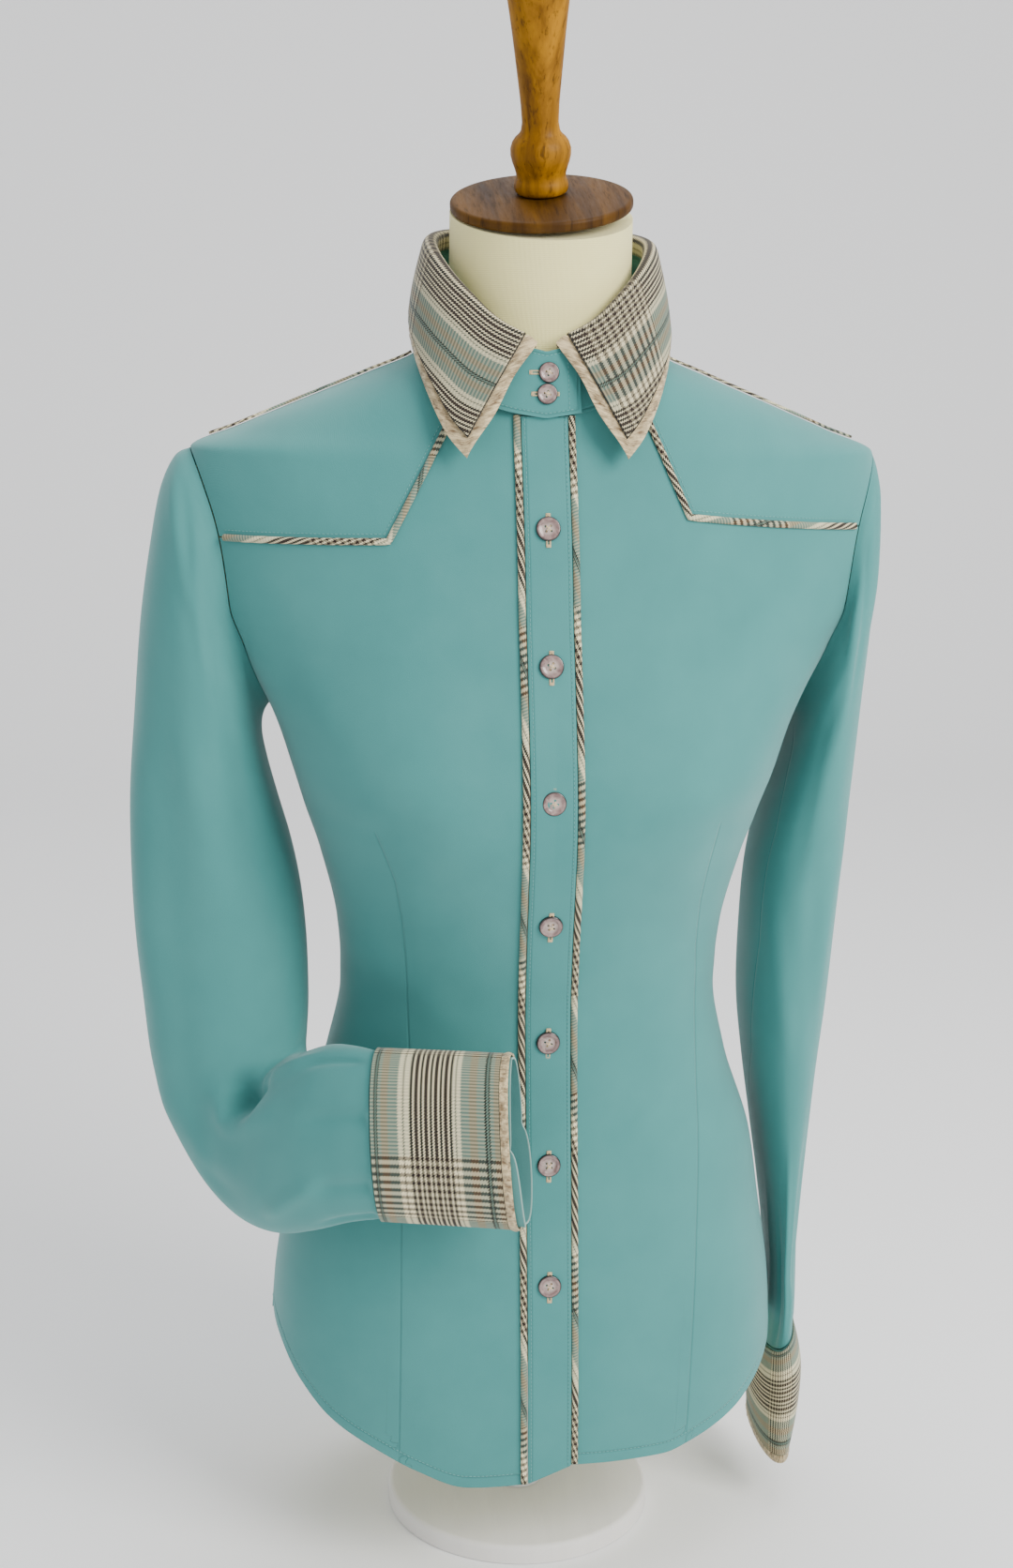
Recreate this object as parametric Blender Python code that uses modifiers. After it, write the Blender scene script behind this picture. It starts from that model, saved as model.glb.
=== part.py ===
"""A fitted western shirt on a limbless tabletop dress form.

Metres, +Z up. The shirt's front faces -Y and the wearer's left is +X. The origin is the centre of the
foot's flat underside. "Right" and "left" in names are the wearer's.
"""

import math
from collections import namedtuple

import bpy
import numpy as np

MM = 0.001

# Cloth and seams
CLOTH = 1.2 * MM
SEAM_HALF_GAP = 0.20 * MM
YOKE_SEAM_HALF_GAP = 0.38 * MM  # under piping, where the walls' inner sides lean together
LAY = 0.4 * MM  # a piece lies this far off the piece under it
SLEEVE_SEAM_GAP = 1.0 * MM

# Shirt opening
OPENING_TOP_X = -3.6 * MM  # at the first button
OPENING_SLANT = 0.0167
PLACKET_HALF = 13.1 * MM
PIPING_HALF = 2.0 * MM
PIPING_CENTRE = 15.5 * MM
FRONT_OVERLAP_EDGE = 13.4 * MM
BUTTON_RADIUS = 7.0 * MM
COLLAR_BUTTON_RADIUS = 5.6 * MM
BUTTON_THICK = 2.6 * MM
FIRST_BUTTON_Z = 0.651
BUTTON_SPACING = 0.075
BUTTONS = 7
PLACKET_TOP = 0.7115
COLLAR_BUTTONS = (("upper", 0.0027, 0.7358), ("lower", 0.0015, 0.7240))

# Rows of each front's grid, and those of them up the side seam
FRONT_ROWS = 20
SIDE_ROWS = 14
YOKE_COLUMNS = (5, 6)  # before and after the yoke's corner

# Dress form
CAP_RADIUS = 53 * MM
CAP_CENTRE = (0.0, -0.003, 0.826)
CAP_TILT = 16.0  # degrees, top leaning to the front
CAP_SIDE_TILT = -4.0  # degrees, top leaning to the wearer's right
STEM_RADIUS = 16 * MM
FOOT_RADIUS = 85 * MM
FOOT_THICK = 12 * MM
TORSO_BOTTOM = 0.150
FORM_DROP = 3 * MM
FORM_SHOULDER_LEVELS = (0.684, 0.697, 0.712, 0.729, 0.741, 0.752, 0.777, 0.800)

# The worn shirt's outer surface, level by level: half width, depth to the front and to the back of the
# section's centre, the centre's y, how square the oval is, and the air between cloth and form.
Level = namedtuple("Level", "z half front back centre power slack")
LEVELS = (
    Level(0.040, 0.1600, 0.111, 0.106, 0.000, 2.3, 0.005),
    Level(0.120, 0.1610, 0.111, 0.108, 0.000, 2.3, 0.005),
    Level(0.160, 0.1590, 0.110, 0.109, 0.000, 2.3, 0.005),
    Level(0.220, 0.1500, 0.106, 0.104, 0.000, 2.3, 0.004),
    Level(0.262, 0.1430, 0.103, 0.097, 0.000, 2.3, 0.004),
    Level(0.317, 0.1250, 0.098, 0.088, 0.000, 2.2, 0.004),
    Level(0.366, 0.1160, 0.096, 0.085, 0.000, 2.2, 0.004),
    Level(0.400, 0.1185, 0.101, 0.087, 0.000, 2.2, 0.004),
    Level(0.448, 0.1295, 0.113, 0.093, 0.000, 2.2, 0.004),
    Level(0.475, 0.1385, 0.119, 0.097, 0.000, 2.2, 0.005),
    Level(0.500, 0.1460, 0.121, 0.099, 0.001, 2.4, 0.005),
    Level(0.535, 0.1580, 0.117, 0.101, 0.002, 2.5, 0.006),
    Level(0.578, 0.1830, 0.108, 0.101, 0.003, 2.2, 0.007),
    Level(0.600, 0.1980, 0.103, 0.100, 0.004, 2.1, 0.007),
    Level(0.634, 0.2070, 0.097, 0.096, 0.004, 2.0, 0.006),
    Level(0.660, 0.2085, 0.090, 0.090, 0.004, 2.0, 0.006),
    Level(0.688, 0.2035, 0.081, 0.080, 0.004, 2.0, 0.005),
    Level(0.700, 0.1760, 0.077, 0.075, 0.004, 2.0, 0.004),
    Level(0.715, 0.1400, 0.073, 0.070, 0.003, 2.0, 0.004),
    Level(0.732, 0.0990, 0.069, 0.063, 0.002, 2.0, 0.005),
    Level(0.744, 0.0720, 0.066, 0.058, 0.001, 2.0, 0.006),
    Level(0.755, 0.0640, 0.063, 0.055, 0.000, 2.0, 0.007),
    Level(0.780, 0.0615, 0.060, 0.055, -0.001, 2.0, 0.008),
    Level(0.810, 0.0610, 0.059, 0.055, -0.002, 2.0, 0.008),
    Level(0.850, 0.0605, 0.059, 0.055, -0.003, 2.0, 0.008),
)

# A soft bust: its place round the body (0 front, 1 side), height, spread and rise.
BUST = dict(around=0.40, z=0.500, spread_around=0.24, spread_z=0.045, rise=0.009)

# Seam lines, as height at a place round the body: 0 centre front, 1 side or shoulder, 2 centre back.
Seam = namedtuple("Seam", "around z")
NECK_SEAM = (
    Seam(0.0, 0.712), Seam(0.20, 0.716), Seam(0.38, 0.725), Seam(0.55, 0.735),
    Seam(0.75, 0.743), Seam(1.0, 0.749), Seam(1.5, 0.758), Seam(2.0, 0.764),
)
STAND_TOP = (
    Seam(0.0, 0.747), Seam(0.25, 0.754), Seam(0.55, 0.773), Seam(0.8, 0.789),
    Seam(1.0, 0.797), Seam(1.5, 0.803), Seam(2.0, 0.804),
)
HEM_RIGHT = (
    Seam(0.0, 0.073), Seam(0.25, 0.070), Seam(0.40, 0.079), Seam(0.50, 0.088),
    Seam(0.65, 0.103), Seam(0.75, 0.119), Seam(0.87, 0.138), Seam(1.0, 0.148),
)
HEM_LEFT = (
    Seam(0.0, 0.084), Seam(0.25, 0.083), Seam(0.42, 0.083), Seam(0.50, 0.087),
    Seam(0.65, 0.098), Seam(0.75, 0.110), Seam(0.87, 0.124), Seam(1.0, 0.132),
)
HEM_BACK = (
    Seam(1.0, 0.140), Seam(1.15, 0.127), Seam(1.35, 0.103), Seam(1.6, 0.084),
    Seam(1.8, 0.077), Seam(2.0, 0.075),
)

# Front yoke: from under the collar down to its corner, then level to the armhole. Back yoke: one point.
Yoke = namedtuple("Yoke", "corner_x corner_z end_z")
YOKE_RIGHT = Yoke(0.092, 0.643, 0.640)
YOKE_LEFT = Yoke(0.078, 0.657, 0.647)
YOKE_NECK_AROUND = 0.41
BACK_YOKE_END_Z = 0.640
BACK_YOKE_POINT_Z = 0.585

# Armhole, an oval seen from the side
ARMHOLE = dict(y=0.004, z=0.6115, tall=0.0765, front=0.045, back=0.052)

# Sleeves: a section's outer point and inner point, its half depth across them, and which way its front
# faces, in degrees from the front towards the wearer's side. The first row lies in the armhole.
Section = namedtuple("Section", "outer_x outer_y outer_z inner_x inner_y inner_z deep facing")
BENT_SLEEVE = (
    Section(-0.2030, 0.004, 0.688, -0.1580, 0.004, 0.5350, 0.058, 0),
    Section(-0.2120, 0.003, 0.683, -0.1610, 0.003, 0.5310, 0.058, 0),
    Section(-0.2210, 0.002, 0.664, -0.1630, 0.002, 0.5250, 0.057, 0),
    Section(-0.2280, 0.001, 0.630, -0.1630, 0.001, 0.5150, 0.055, 0),
    Section(-0.2340, 0.000, 0.590, -0.1600, 0.000, 0.5000, 0.053, 0),
    Section(-0.2380, -0.001, 0.545, -0.1540, -0.002, 0.4780, 0.051, 0),
    Section(-0.2410, -0.002, 0.500, -0.1465, -0.003, 0.4520, 0.049, 0),
    Section(-0.2420, -0.003, 0.450, -0.1410, -0.006, 0.4250, 0.048, 0),
    Section(-0.2410, -0.005, 0.405, -0.1380, -0.010, 0.3980, 0.046, 2),
    Section(-0.2370, -0.008, 0.360, -0.1370, -0.017, 0.3730, 0.044, 6),
    Section(-0.2310, -0.012, 0.315, -0.1375, -0.027, 0.3520, 0.042, 13),
    Section(-0.2190, -0.017, 0.284, -0.1400, -0.038, 0.3390, 0.040, 22),
    Section(-0.2045, -0.025, 0.257, -0.1435, -0.049, 0.3330, 0.037, 31),
    Section(-0.1880, -0.038, 0.237, -0.1460, -0.061, 0.3330, 0.034, 39),
    Section(-0.1700, -0.058, 0.227, -0.1440, -0.075, 0.3380, 0.031, 44),
    Section(-0.1520, -0.081, 0.229, -0.1380, -0.091, 0.3470, 0.029, 44),
    Section(-0.1340, -0.103, 0.240, -0.1270, -0.108, 0.3560, 0.026, 38),
    Section(-0.1135, -0.119, 0.252, -0.1140, -0.121, 0.3592, 0.023, 27),
    Section(-0.0964, -0.1285, 0.2580, -0.1016, -0.1295, 0.3590, 0.021, 18),
)
BENT_CUFF = (
    Section(-0.0958, -0.1290, 0.2580, -0.1010, -0.1300, 0.3595, 0.0210, 17),
    Section(-0.0705, -0.1365, 0.2588, -0.0760, -0.1375, 0.3607, 0.0195, 17),
    Section(-0.0450, -0.1440, 0.2595, -0.0512, -0.1450, 0.3618, 0.0185, 17),
    Section(-0.0190, -0.1515, 0.2600, -0.0264, -0.1525, 0.3627, 0.0180, 17),
)
HANGING_SLEEVE = (
    Section(0.2035, 0.004, 0.688, 0.1580, 0.004, 0.5350, 0.050, 0),
    Section(0.2060, 0.004, 0.680, 0.1605, 0.004, 0.5310, 0.052, 0),
    Section(0.2065, 0.004, 0.662, 0.1625, 0.004, 0.5250, 0.054, 0),
    Section(0.2060, 0.004, 0.630, 0.1620, 0.004, 0.5150, 0.055, 0),
    Section(0.2045, 0.005, 0.590, 0.1590, 0.005, 0.5020, 0.055, 0),
    Section(0.2020, 0.006, 0.545, 0.1530, 0.006, 0.4820, 0.055, 0),
    Section(0.2000, 0.007, 0.498, 0.1460, 0.008, 0.4570, 0.055, 0),
    Section(0.1975, 0.009, 0.450, 0.1405, 0.010, 0.4280, 0.055, 0),
    Section(0.1950, 0.011, 0.400, 0.1390, 0.012, 0.3900, 0.055, 0),
    Section(0.1920, 0.013, 0.345, 0.1395, 0.014, 0.3400, 0.054, 0),
    Section(0.1880, 0.015, 0.298, 0.1450, 0.016, 0.2960, 0.053, 0),
    Section(0.1850, 0.017, 0.250, 0.1530, 0.018, 0.2480, 0.051, 0),
    Section(0.1825, 0.018, 0.205, 0.1605, 0.019, 0.2020, 0.048, 0),
    Section(0.1810, 0.018, 0.165, 0.1655, 0.019, 0.1600, 0.045, 0),
    Section(0.1800, 0.017, 0.140, 0.1640, 0.017, 0.1280, 0.043, 0),
    Section(0.1800, 0.016, 0.121, 0.1620, 0.016, 0.1040, 0.042, 0),
)
HANGING_CUFF = (
    Section(0.1805, 0.0160, 0.1200, 0.1615, 0.0160, 0.1030, 0.0430, 0),
    Section(0.1865, 0.0150, 0.0930, 0.1600, 0.0150, 0.0800, 0.0425, 0),
    Section(0.1845, 0.0130, 0.0620, 0.1600, 0.0130, 0.0560, 0.0420, 0),
    Section(0.1780, 0.0110, 0.0320, 0.1620, 0.0110, 0.0310, 0.0420, 0),
)
CUFF_BAND = 7 * MM
CUFF_LIFT = 1.6 * MM  # the cuff's outside over the sections' own size
CUFF_LAP = 5 * MM
CUFF_POINTS = 20
SLEEVE_POINTS = 18

# Fold collar: where it leaves the stand, the height of its fold, and its outer edge.
Fall = namedtuple("Fall", "around fold_z edge_x edge_y edge_z")
COLLAR = (
    Fall(0.06, 0.7530, 0.0450, -0.0890, 0.6900),
    Fall(0.28, 0.7635, 0.0560, -0.0800, 0.7030),
    Fall(0.52, 0.7805, 0.0660, -0.0640, 0.7230),
    Fall(0.78, 0.7970, 0.0735, -0.0370, 0.7430),
    Fall(1.00, 0.8060, 0.0755, -0.0040, 0.7550),
    Fall(1.30, 0.8110, 0.0705, 0.0280, 0.7620),
    Fall(1.65, 0.8125, 0.0450, 0.0580, 0.7640),
    Fall(2.00, 0.8125, 0.0000, 0.0700, 0.7640),
)
COLLAR_RIM = 8.5 * MM
COLLAR_ROLL = 3.2 * MM  # radius of the roll over the stand
COLLAR_SWELL = 1.5 * MM


# Finial, measured along its own axis from the cap
Turning = namedtuple("Turning", "height radius")
FINIAL = (
    Turning(0.000, 0.0135), Turning(0.002, 0.0155), Turning(0.006, 0.0155), Turning(0.009, 0.0140),
    Turning(0.014, 0.0150), Turning(0.021, 0.0172), Turning(0.026, 0.0172), Turning(0.031, 0.0150),
    Turning(0.036, 0.0112), Turning(0.042, 0.0104), Turning(0.062, 0.0122), Turning(0.090, 0.0152),
    Turning(0.112, 0.0182), Turning(0.124, 0.0192), Turning(0.134, 0.0180), Turning(0.141, 0.0130),
    Turning(0.1445, 0.0060),
)


# Reading the tables

def column(rows, name):
    return np.array([getattr(row, name) for row in rows], float)


def eased(x, known_x, known_y):
    """A smooth curve through known points that never overshoots them."""
    known_x = np.asarray(known_x, float)
    known_y = np.asarray(known_y, float)
    steps = np.diff(known_x)
    slopes = np.diff(known_y) / steps
    tangents = np.empty_like(known_y)
    tangents[0] = slopes[0]
    tangents[-1] = slopes[-1]
    before, after = slopes[:-1], slopes[1:]
    same_way = before * after > 0
    safe = np.where(same_way, before + after, 1.0)
    tangents[1:-1] = np.where(same_way, 2 * before * after / safe, 0.0)
    x = np.clip(np.asarray(x, float), known_x[0], known_x[-1])
    i = np.clip(np.searchsorted(known_x, x) - 1, 0, len(steps) - 1)
    t = (x - known_x[i]) / steps[i]
    return (
        known_y[i] * (1 + 2 * t) * (1 - t) ** 2
        + known_y[i + 1] * (3 - 2 * t) * t**2
        + steps[i] * (tangents[i] * t * (1 - t) ** 2 - tangents[i + 1] * t**2 * (1 - t))
    )


def rounded(t, rows):
    """Every column of a table of sections, on one smooth curve through its rows, at t from 0 to 1."""
    values = np.array(rows, float)
    place = np.clip(t, 0, 1) * (len(values) - 1)
    i = np.clip(place.astype(int), 0, len(values) - 2)
    f = (place - i)[:, None]
    first = values[np.maximum(i - 1, 0)]
    start = values[i]
    end = values[i + 1]
    last = values[np.minimum(i + 2, len(values) - 1)]
    return 0.5 * (
        2 * start
        + (end - first) * f
        + (2 * first - 5 * start + 4 * end - last) * f**2
        + (3 * start - first - 3 * end + last) * f**3
    )


def seam_z(seam, around):
    return eased(np.abs(around), column(seam, "around"), column(seam, "z"))


# The worn surface

def level(z):
    return {
        name: eased(z, column(LEVELS, "z"), column(LEVELS, name))
        for name in Level._fields[1:]
    }


def surface(around, z, inset=0.0):
    """Points of the worn shirt. around is 0 at centre front, +-1 at the sides and +-2 at centre back."""
    around, z = np.broadcast_arrays(np.asarray(around, float), np.asarray(z, float))
    at = level(z)
    half = at["half"] - inset
    depth = np.where(np.abs(around) <= 1, at["front"], at["back"]) - inset
    angle = around * math.pi / 2
    sine, cosine = np.sin(angle), np.cos(angle)
    power = at["power"]
    reach = ((np.abs(sine) / half) ** power + (np.abs(cosine) / depth) ** power) ** (-1 / power)
    bust = np.exp(
        -((np.abs(around) - BUST["around"]) / BUST["spread_around"]) ** 2
        - ((z - BUST["z"]) / BUST["spread_z"]) ** 2
    )
    reach = reach + BUST["rise"] * bust
    return np.stack([reach * sine, at["centre"] - reach * cosine, z], -1)


def outward(around, z):
    step_around, step_z = 2e-3, 1e-3
    sideways = surface(around + step_around, z) - surface(around - step_around, z)
    upwards = surface(around, z + step_z) - surface(around, z - step_z)
    normal = np.cross(sideways, upwards)
    return normal / np.linalg.norm(normal, axis=-1, keepdims=True)


def on_shirt(around, z, lift=0.0):
    around, z = np.broadcast_arrays(np.asarray(around, float), np.asarray(z, float))
    return surface(around, z) + outward(around, z) * np.asarray(lift)[..., None]


def around_at_x(x, z):
    at = level(z)
    share = np.clip(np.abs(x) / at["half"], 0, 1)
    y = at["front"] * (1 - share ** at["power"]) ** (1 / at["power"])
    return np.arctan2(x, y) / (math.pi / 2)


def around_at_y(y, z):
    """The place round the body, on the +X side, at a depth y."""
    at = level(z)
    off = y - at["centre"]
    depth = np.where(off < 0, at["front"], at["back"])
    x = at["half"] * (1 - np.clip(np.abs(off) / depth, 0, 1) ** at["power"]) ** (1 / at["power"])
    return np.arctan2(x, -off) / (math.pi / 2)


def opening_x(z):
    """The shirt's opening runs a little aslant on the form, to the wearer's right at the top."""
    return OPENING_TOP_X + (FIRST_BUTTON_Z - z) * OPENING_SLANT


def beside_side_seam(z, gap):
    """How far round the body a gap in metres is, at the side or shoulder seam."""
    return gap / level(z)["half"] / (math.pi / 2)


# Lines on the surface, as arrays of (around, z) on the +X side

def armhole(turn):
    """turn: 0 at the shoulder, 0.25 front, 0.5 underarm, 0.75 back."""
    turn = np.asarray(turn, float)
    swing = np.sin(2 * math.pi * turn)
    depth = np.where(swing > 0, ARMHOLE["front"], ARMHOLE["back"])
    z = ARMHOLE["z"] + ARMHOLE["tall"] * np.cos(2 * math.pi * turn)
    y = ARMHOLE["y"] - depth * swing
    return np.stack([around_at_y(y, z), z], -1)


def armhole_turn(z, front):
    turn = math.acos((z - ARMHOLE["z"]) / ARMHOLE["tall"]) / (2 * math.pi)
    return turn if front else 1 - turn


def line(start, end, count):
    t = np.linspace(0, 1, count)[:, None]
    return np.asarray(start) * (1 - t) + np.asarray(end) * t


def joined(*lines):
    return np.concatenate([lines[0]] + [piece[1:] for piece in lines[1:]])


def spread(points, count):
    """The same line, with count points evenly spaced along it on the body."""
    placed = surface(points[:, 0], points[:, 1])
    along = np.concatenate([[0], np.cumsum(np.linalg.norm(np.diff(placed, axis=0), axis=1))])
    wanted = np.linspace(0, along[-1], count)
    return np.stack([np.interp(wanted, along, points[:, k]) for k in (0, 1)], -1)


def patch(low, high, left, right):
    """A grid of (around, z) filled in between four edge lines that meet at their ends."""
    across = np.linspace(0, 1, len(low))[None, :, None]
    up = np.linspace(0, 1, len(left))[:, None, None]
    between_sides = left[:, None] * (1 - across) + right[:, None] * across
    between_ends = low[None] * (1 - up) + high[None] * up
    corners = (
        (low[0] * (1 - across) + low[-1] * across) * (1 - up)
        + (high[0] * (1 - across) + high[-1] * across) * up
    )
    return between_sides + between_ends - corners


def yoke_line(yoke, neck_count, arm_count):
    """Front yoke seam in two stretches: from the neck to its corner, and on to the armhole."""
    neck_z = float(seam_z(NECK_SEAM, YOKE_NECK_AROUND))
    corner = (float(around_at_x(yoke.corner_x, yoke.corner_z)), yoke.corner_z)
    end = armhole(armhole_turn(yoke.end_z, True))
    z = np.linspace(neck_z, yoke.corner_z, 20)
    neck_x = surface(YOKE_NECK_AROUND, neck_z)[0]
    x = np.linspace(neck_x, yoke.corner_x, 20)
    slope = np.stack([around_at_x(x, z), z], -1)
    return joined(spread(slope, neck_count), spread(line(corner, end, 20), arm_count))


def beside(points, distance):
    """A line of (around, z) moved sideways on the surface, to the left of the way it runs."""
    around, z = points[:, 0], points[:, 1]
    step_around, step_z = 1e-3, 1e-4
    per_around = (surface(around + step_around, z) - surface(around - step_around, z)) / (2 * step_around)
    per_z = (surface(around, z + step_z) - surface(around, z - step_z)) / (2 * step_z)
    run = np.gradient(surface(around, z), axis=0)
    left = np.cross(outward(around, z), run)
    left /= np.linalg.norm(left, axis=1)[:, None]
    moved = [
        np.linalg.lstsq(np.stack([a, b], 1), way * distance, rcond=None)[0]
        for a, b, way in zip(per_around, per_z, left)
    ]
    return points + np.array(moved)


def back_yoke_line(count):
    """Back yoke seam, from the armhole on +X to the point at centre back."""
    end = armhole(armhole_turn(BACK_YOKE_END_Z, False))
    around = np.linspace(end[0], 2, count)
    t = (around - end[0]) / (2 - end[0])
    z = BACK_YOKE_END_Z + (BACK_YOKE_POINT_Z - BACK_YOKE_END_Z) * t**1.5
    return np.stack([around, z], -1)


# Objects

shirt = bpy.data.collections.new("western_shirt")


def material(name, colour, roughness, metallic=0.0):
    made = bpy.data.materials.new(name)
    made.use_nodes = True
    shader = made.node_tree.nodes["Principled BSDF"]
    shader.inputs["Base Color"].default_value = (*colour, 1)
    shader.inputs["Roughness"].default_value = roughness
    shader.inputs["Metallic"].default_value = metallic
    return made


def place(name, mesh, finish):
    placed = bpy.data.objects.new(name, mesh)
    mesh.materials.append(finish)
    shirt.objects.link(placed)
    return placed


def sheet(name, grid, finish, thick=CLOTH, turned=False, tube=False):
    """A wall on a grid of outer points: rows, then points along each row."""
    rows, count = grid.shape[:2]
    spans = count if tube else count - 1
    faces = []
    for row in range(rows - 1):
        for here in range(spans):
            there = (here + 1) % count
            corners = [
                row * count + here,
                row * count + there,
                (row + 1) * count + there,
                (row + 1) * count + here,
            ]
            faces.append(corners[::-1] if turned else corners)
    mesh = bpy.data.meshes.new(name)
    mesh.from_pydata(grid.reshape(-1, 3).tolist(), [], faces)
    mesh.shade_smooth()
    made = place(name, mesh, finish)
    wall = made.modifiers.new("Wall", "SOLIDIFY")
    wall.thickness = thick
    wall.offset = -1
    wall.use_rim = True
    return made


def turned_piece(name, profile, finish, steps=32):
    """A lathe-turned piece: (radius, height) from the axis at the top, out, and back to the axis below."""
    mesh = bpy.data.meshes.new(name)
    points = [(radius, 0.0, height) for radius, height in profile]
    mesh.from_pydata(points, [(i, i + 1) for i in range(len(points) - 1)], [])
    made = place(name, mesh, finish)
    lathe = made.modifiers.new("Lathe", "SCREW")
    lathe.steps = steps
    lathe.render_steps = steps
    lathe.use_merge_vertices = True
    lathe.merge_threshold = 0.00001
    lathe.use_smooth_shade = True
    return made


def arc(centre_radius, centre_height, radius, start, end, count):
    """(radius, height) points on an arc, its angles in degrees from level and out."""
    return [
        (
            centre_radius + radius * math.cos(math.radians(angle)),
            centre_height + radius * math.sin(math.radians(angle)),
        )
        for angle in np.linspace(start, end, count)
    ]


# Panels

def front_rows(hem):
    """Heights of the front's rows at its straight edge, from hem to neck seam."""
    return np.linspace(float(seam_z(hem, 0.1)), float(seam_z(NECK_SEAM, 0.12)), FRONT_ROWS)


def front_edge(side, hem):
    """The front's straight edge under the placket."""
    z = front_rows(hem)
    x = opening_x(z) - FRONT_OVERLAP_EDGE + (0.0 if side < 0 else 2 * SEAM_HALF_GAP)
    return np.stack([around_at_x(x, z) * side, z], -1)


def make_fronts(teal):
    """Two fronts: hem, side seam, armhole, yoke seam and neck. The left one runs on under the placket."""
    for side, hem, yoke, name in (
        (-1, HEM_RIGHT, YOKE_RIGHT, "front_right"),
        (1, HEM_LEFT, YOKE_LEFT, "front_left"),
    ):
        neck_columns = 5 if side > 0 else 4
        edge = front_edge(side, hem)
        around = np.linspace(edge[0, 0], 1, 40)
        low = np.stack([around, seam_z(hem, around)], -1)
        neck_around = np.linspace(edge[-1, 0], YOKE_NECK_AROUND, 12)
        neck = np.stack([neck_around, seam_z(NECK_SEAM, neck_around)], -1)
        neck[0] = edge[-1]
        high = joined(spread(neck, neck_columns), yoke_line(yoke, *YOKE_COLUMNS))
        low = spread(low, len(high))
        side_line = line((1, low[-1, 1]), armhole(0.5), SIDE_ROWS)
        turns = np.linspace(0.5, armhole_turn(yoke.end_z, True), FRONT_ROWS - SIDE_ROWS + 1)
        right = joined(side_line, armhole(turns))
        grid = patch(low, high, edge, right)
        around, z = grid[..., 0], grid[..., 1]
        grid[-1, neck_columns - 1 :] = beside(high[neck_columns - 1 :], -YOKE_SEAM_HALF_GAP)
        around[:SIDE_ROWS, -1] -= beside_side_seam(z[:SIDE_ROWS, -1], SEAM_HALF_GAP)
        sheet(name, on_shirt(around * side, z), teal, turned=side < 0)


def make_front_yokes(teal):
    for side, yoke, name in (
        (-1, YOKE_RIGHT, "yoke_front_right"),
        (1, YOKE_LEFT, "yoke_front_left"),
    ):
        low = yoke_line(yoke, *YOKE_COLUMNS)
        shoulder = line(
            (1, float(seam_z(NECK_SEAM, 1.0))), armhole(0.0), len(low)
        )
        neck_around = np.linspace(YOKE_NECK_AROUND, 1, 8)
        left = np.stack([neck_around, seam_z(NECK_SEAM, neck_around)], -1)
        right = armhole(np.linspace(armhole_turn(yoke.end_z, True), 0, 8))
        grid = patch(low, shoulder, left, right)
        around, z = grid[..., 0], grid[..., 1]
        grid[0] = beside(low, YOKE_SEAM_HALF_GAP)
        around[-1] -= beside_side_seam(z[-1], YOKE_SEAM_HALF_GAP)
        sheet(name, on_shirt(around * side, z), teal, turned=side < 0)


def make_back(teal):
    """Back and its pointed yoke, each in one piece across the centre."""
    half_yoke = spread(back_yoke_line(40), 8)
    side_line = line((1, HEM_BACK[0].z), armhole(0.5), 13)
    turns = np.linspace(0.5, armhole_turn(BACK_YOKE_END_Z, False), 7)
    left = joined(side_line, armhole(turns))
    middle = line((2, HEM_BACK[-1].z), half_yoke[-1], len(left))
    around = np.linspace(1, 2, 40)
    low = spread(np.stack([around, seam_z(HEM_BACK, around)], -1), len(half_yoke))
    grid = patch(low, half_yoke, left, middle)
    grid[-1, :, 1] -= SEAM_HALF_GAP
    grid[:13, 0, 0] += beside_side_seam(grid[:13, 0, 1], SEAM_HALF_GAP)
    sheet("back", on_shirt(*mirrored(grid)), teal)

    neck_around = np.linspace(1, 2, len(half_yoke))
    neck = np.stack([neck_around, seam_z(NECK_SEAM, neck_around)], -1)
    shoulder = joined(
        armhole(np.linspace(armhole_turn(BACK_YOKE_END_Z, False), 1, 5)),
        line((1, ARMHOLE["z"] + ARMHOLE["tall"]), neck[0], 7),
    )
    middle = line(half_yoke[-1], neck[-1], len(shoulder))
    grid = patch(half_yoke, neck, shoulder, middle)
    grid[0, :, 1] += SEAM_HALF_GAP
    grid[4:, 0, 0] += beside_side_seam(grid[4:, 0, 1], YOKE_SEAM_HALF_GAP)
    sheet("yoke_back", on_shirt(*mirrored(grid)), teal)


def mirrored(grid):
    """A +X half grid that ends at centre back, carried on round to -X."""
    other = grid[:, -2::-1].copy()
    other[..., 0] = 4 - other[..., 0]
    both = np.concatenate([grid, other], 1)
    return both[..., 0], both[..., 1]


# Piping, placket and buttons

def strip(name, points, half, lift, thick, finish, crown=0.0):
    """A narrow band along a line of (around, z), a little higher along its middle."""
    points = np.asarray(points)
    centre = on_shirt(points[:, 0], points[:, 1])
    normal = outward(points[:, 0], points[:, 1])
    along = np.gradient(centre, axis=0)
    beside = np.cross(normal, along)
    beside /= np.linalg.norm(beside, axis=-1, keepdims=True)
    rows = [
        centre + beside * half * share + normal * (lift + thick + crown * (1 - share**2))
        for share in (1, 0, -1)
    ]
    return sheet(name, np.stack(rows, 1), finish, thick=thick)


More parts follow.
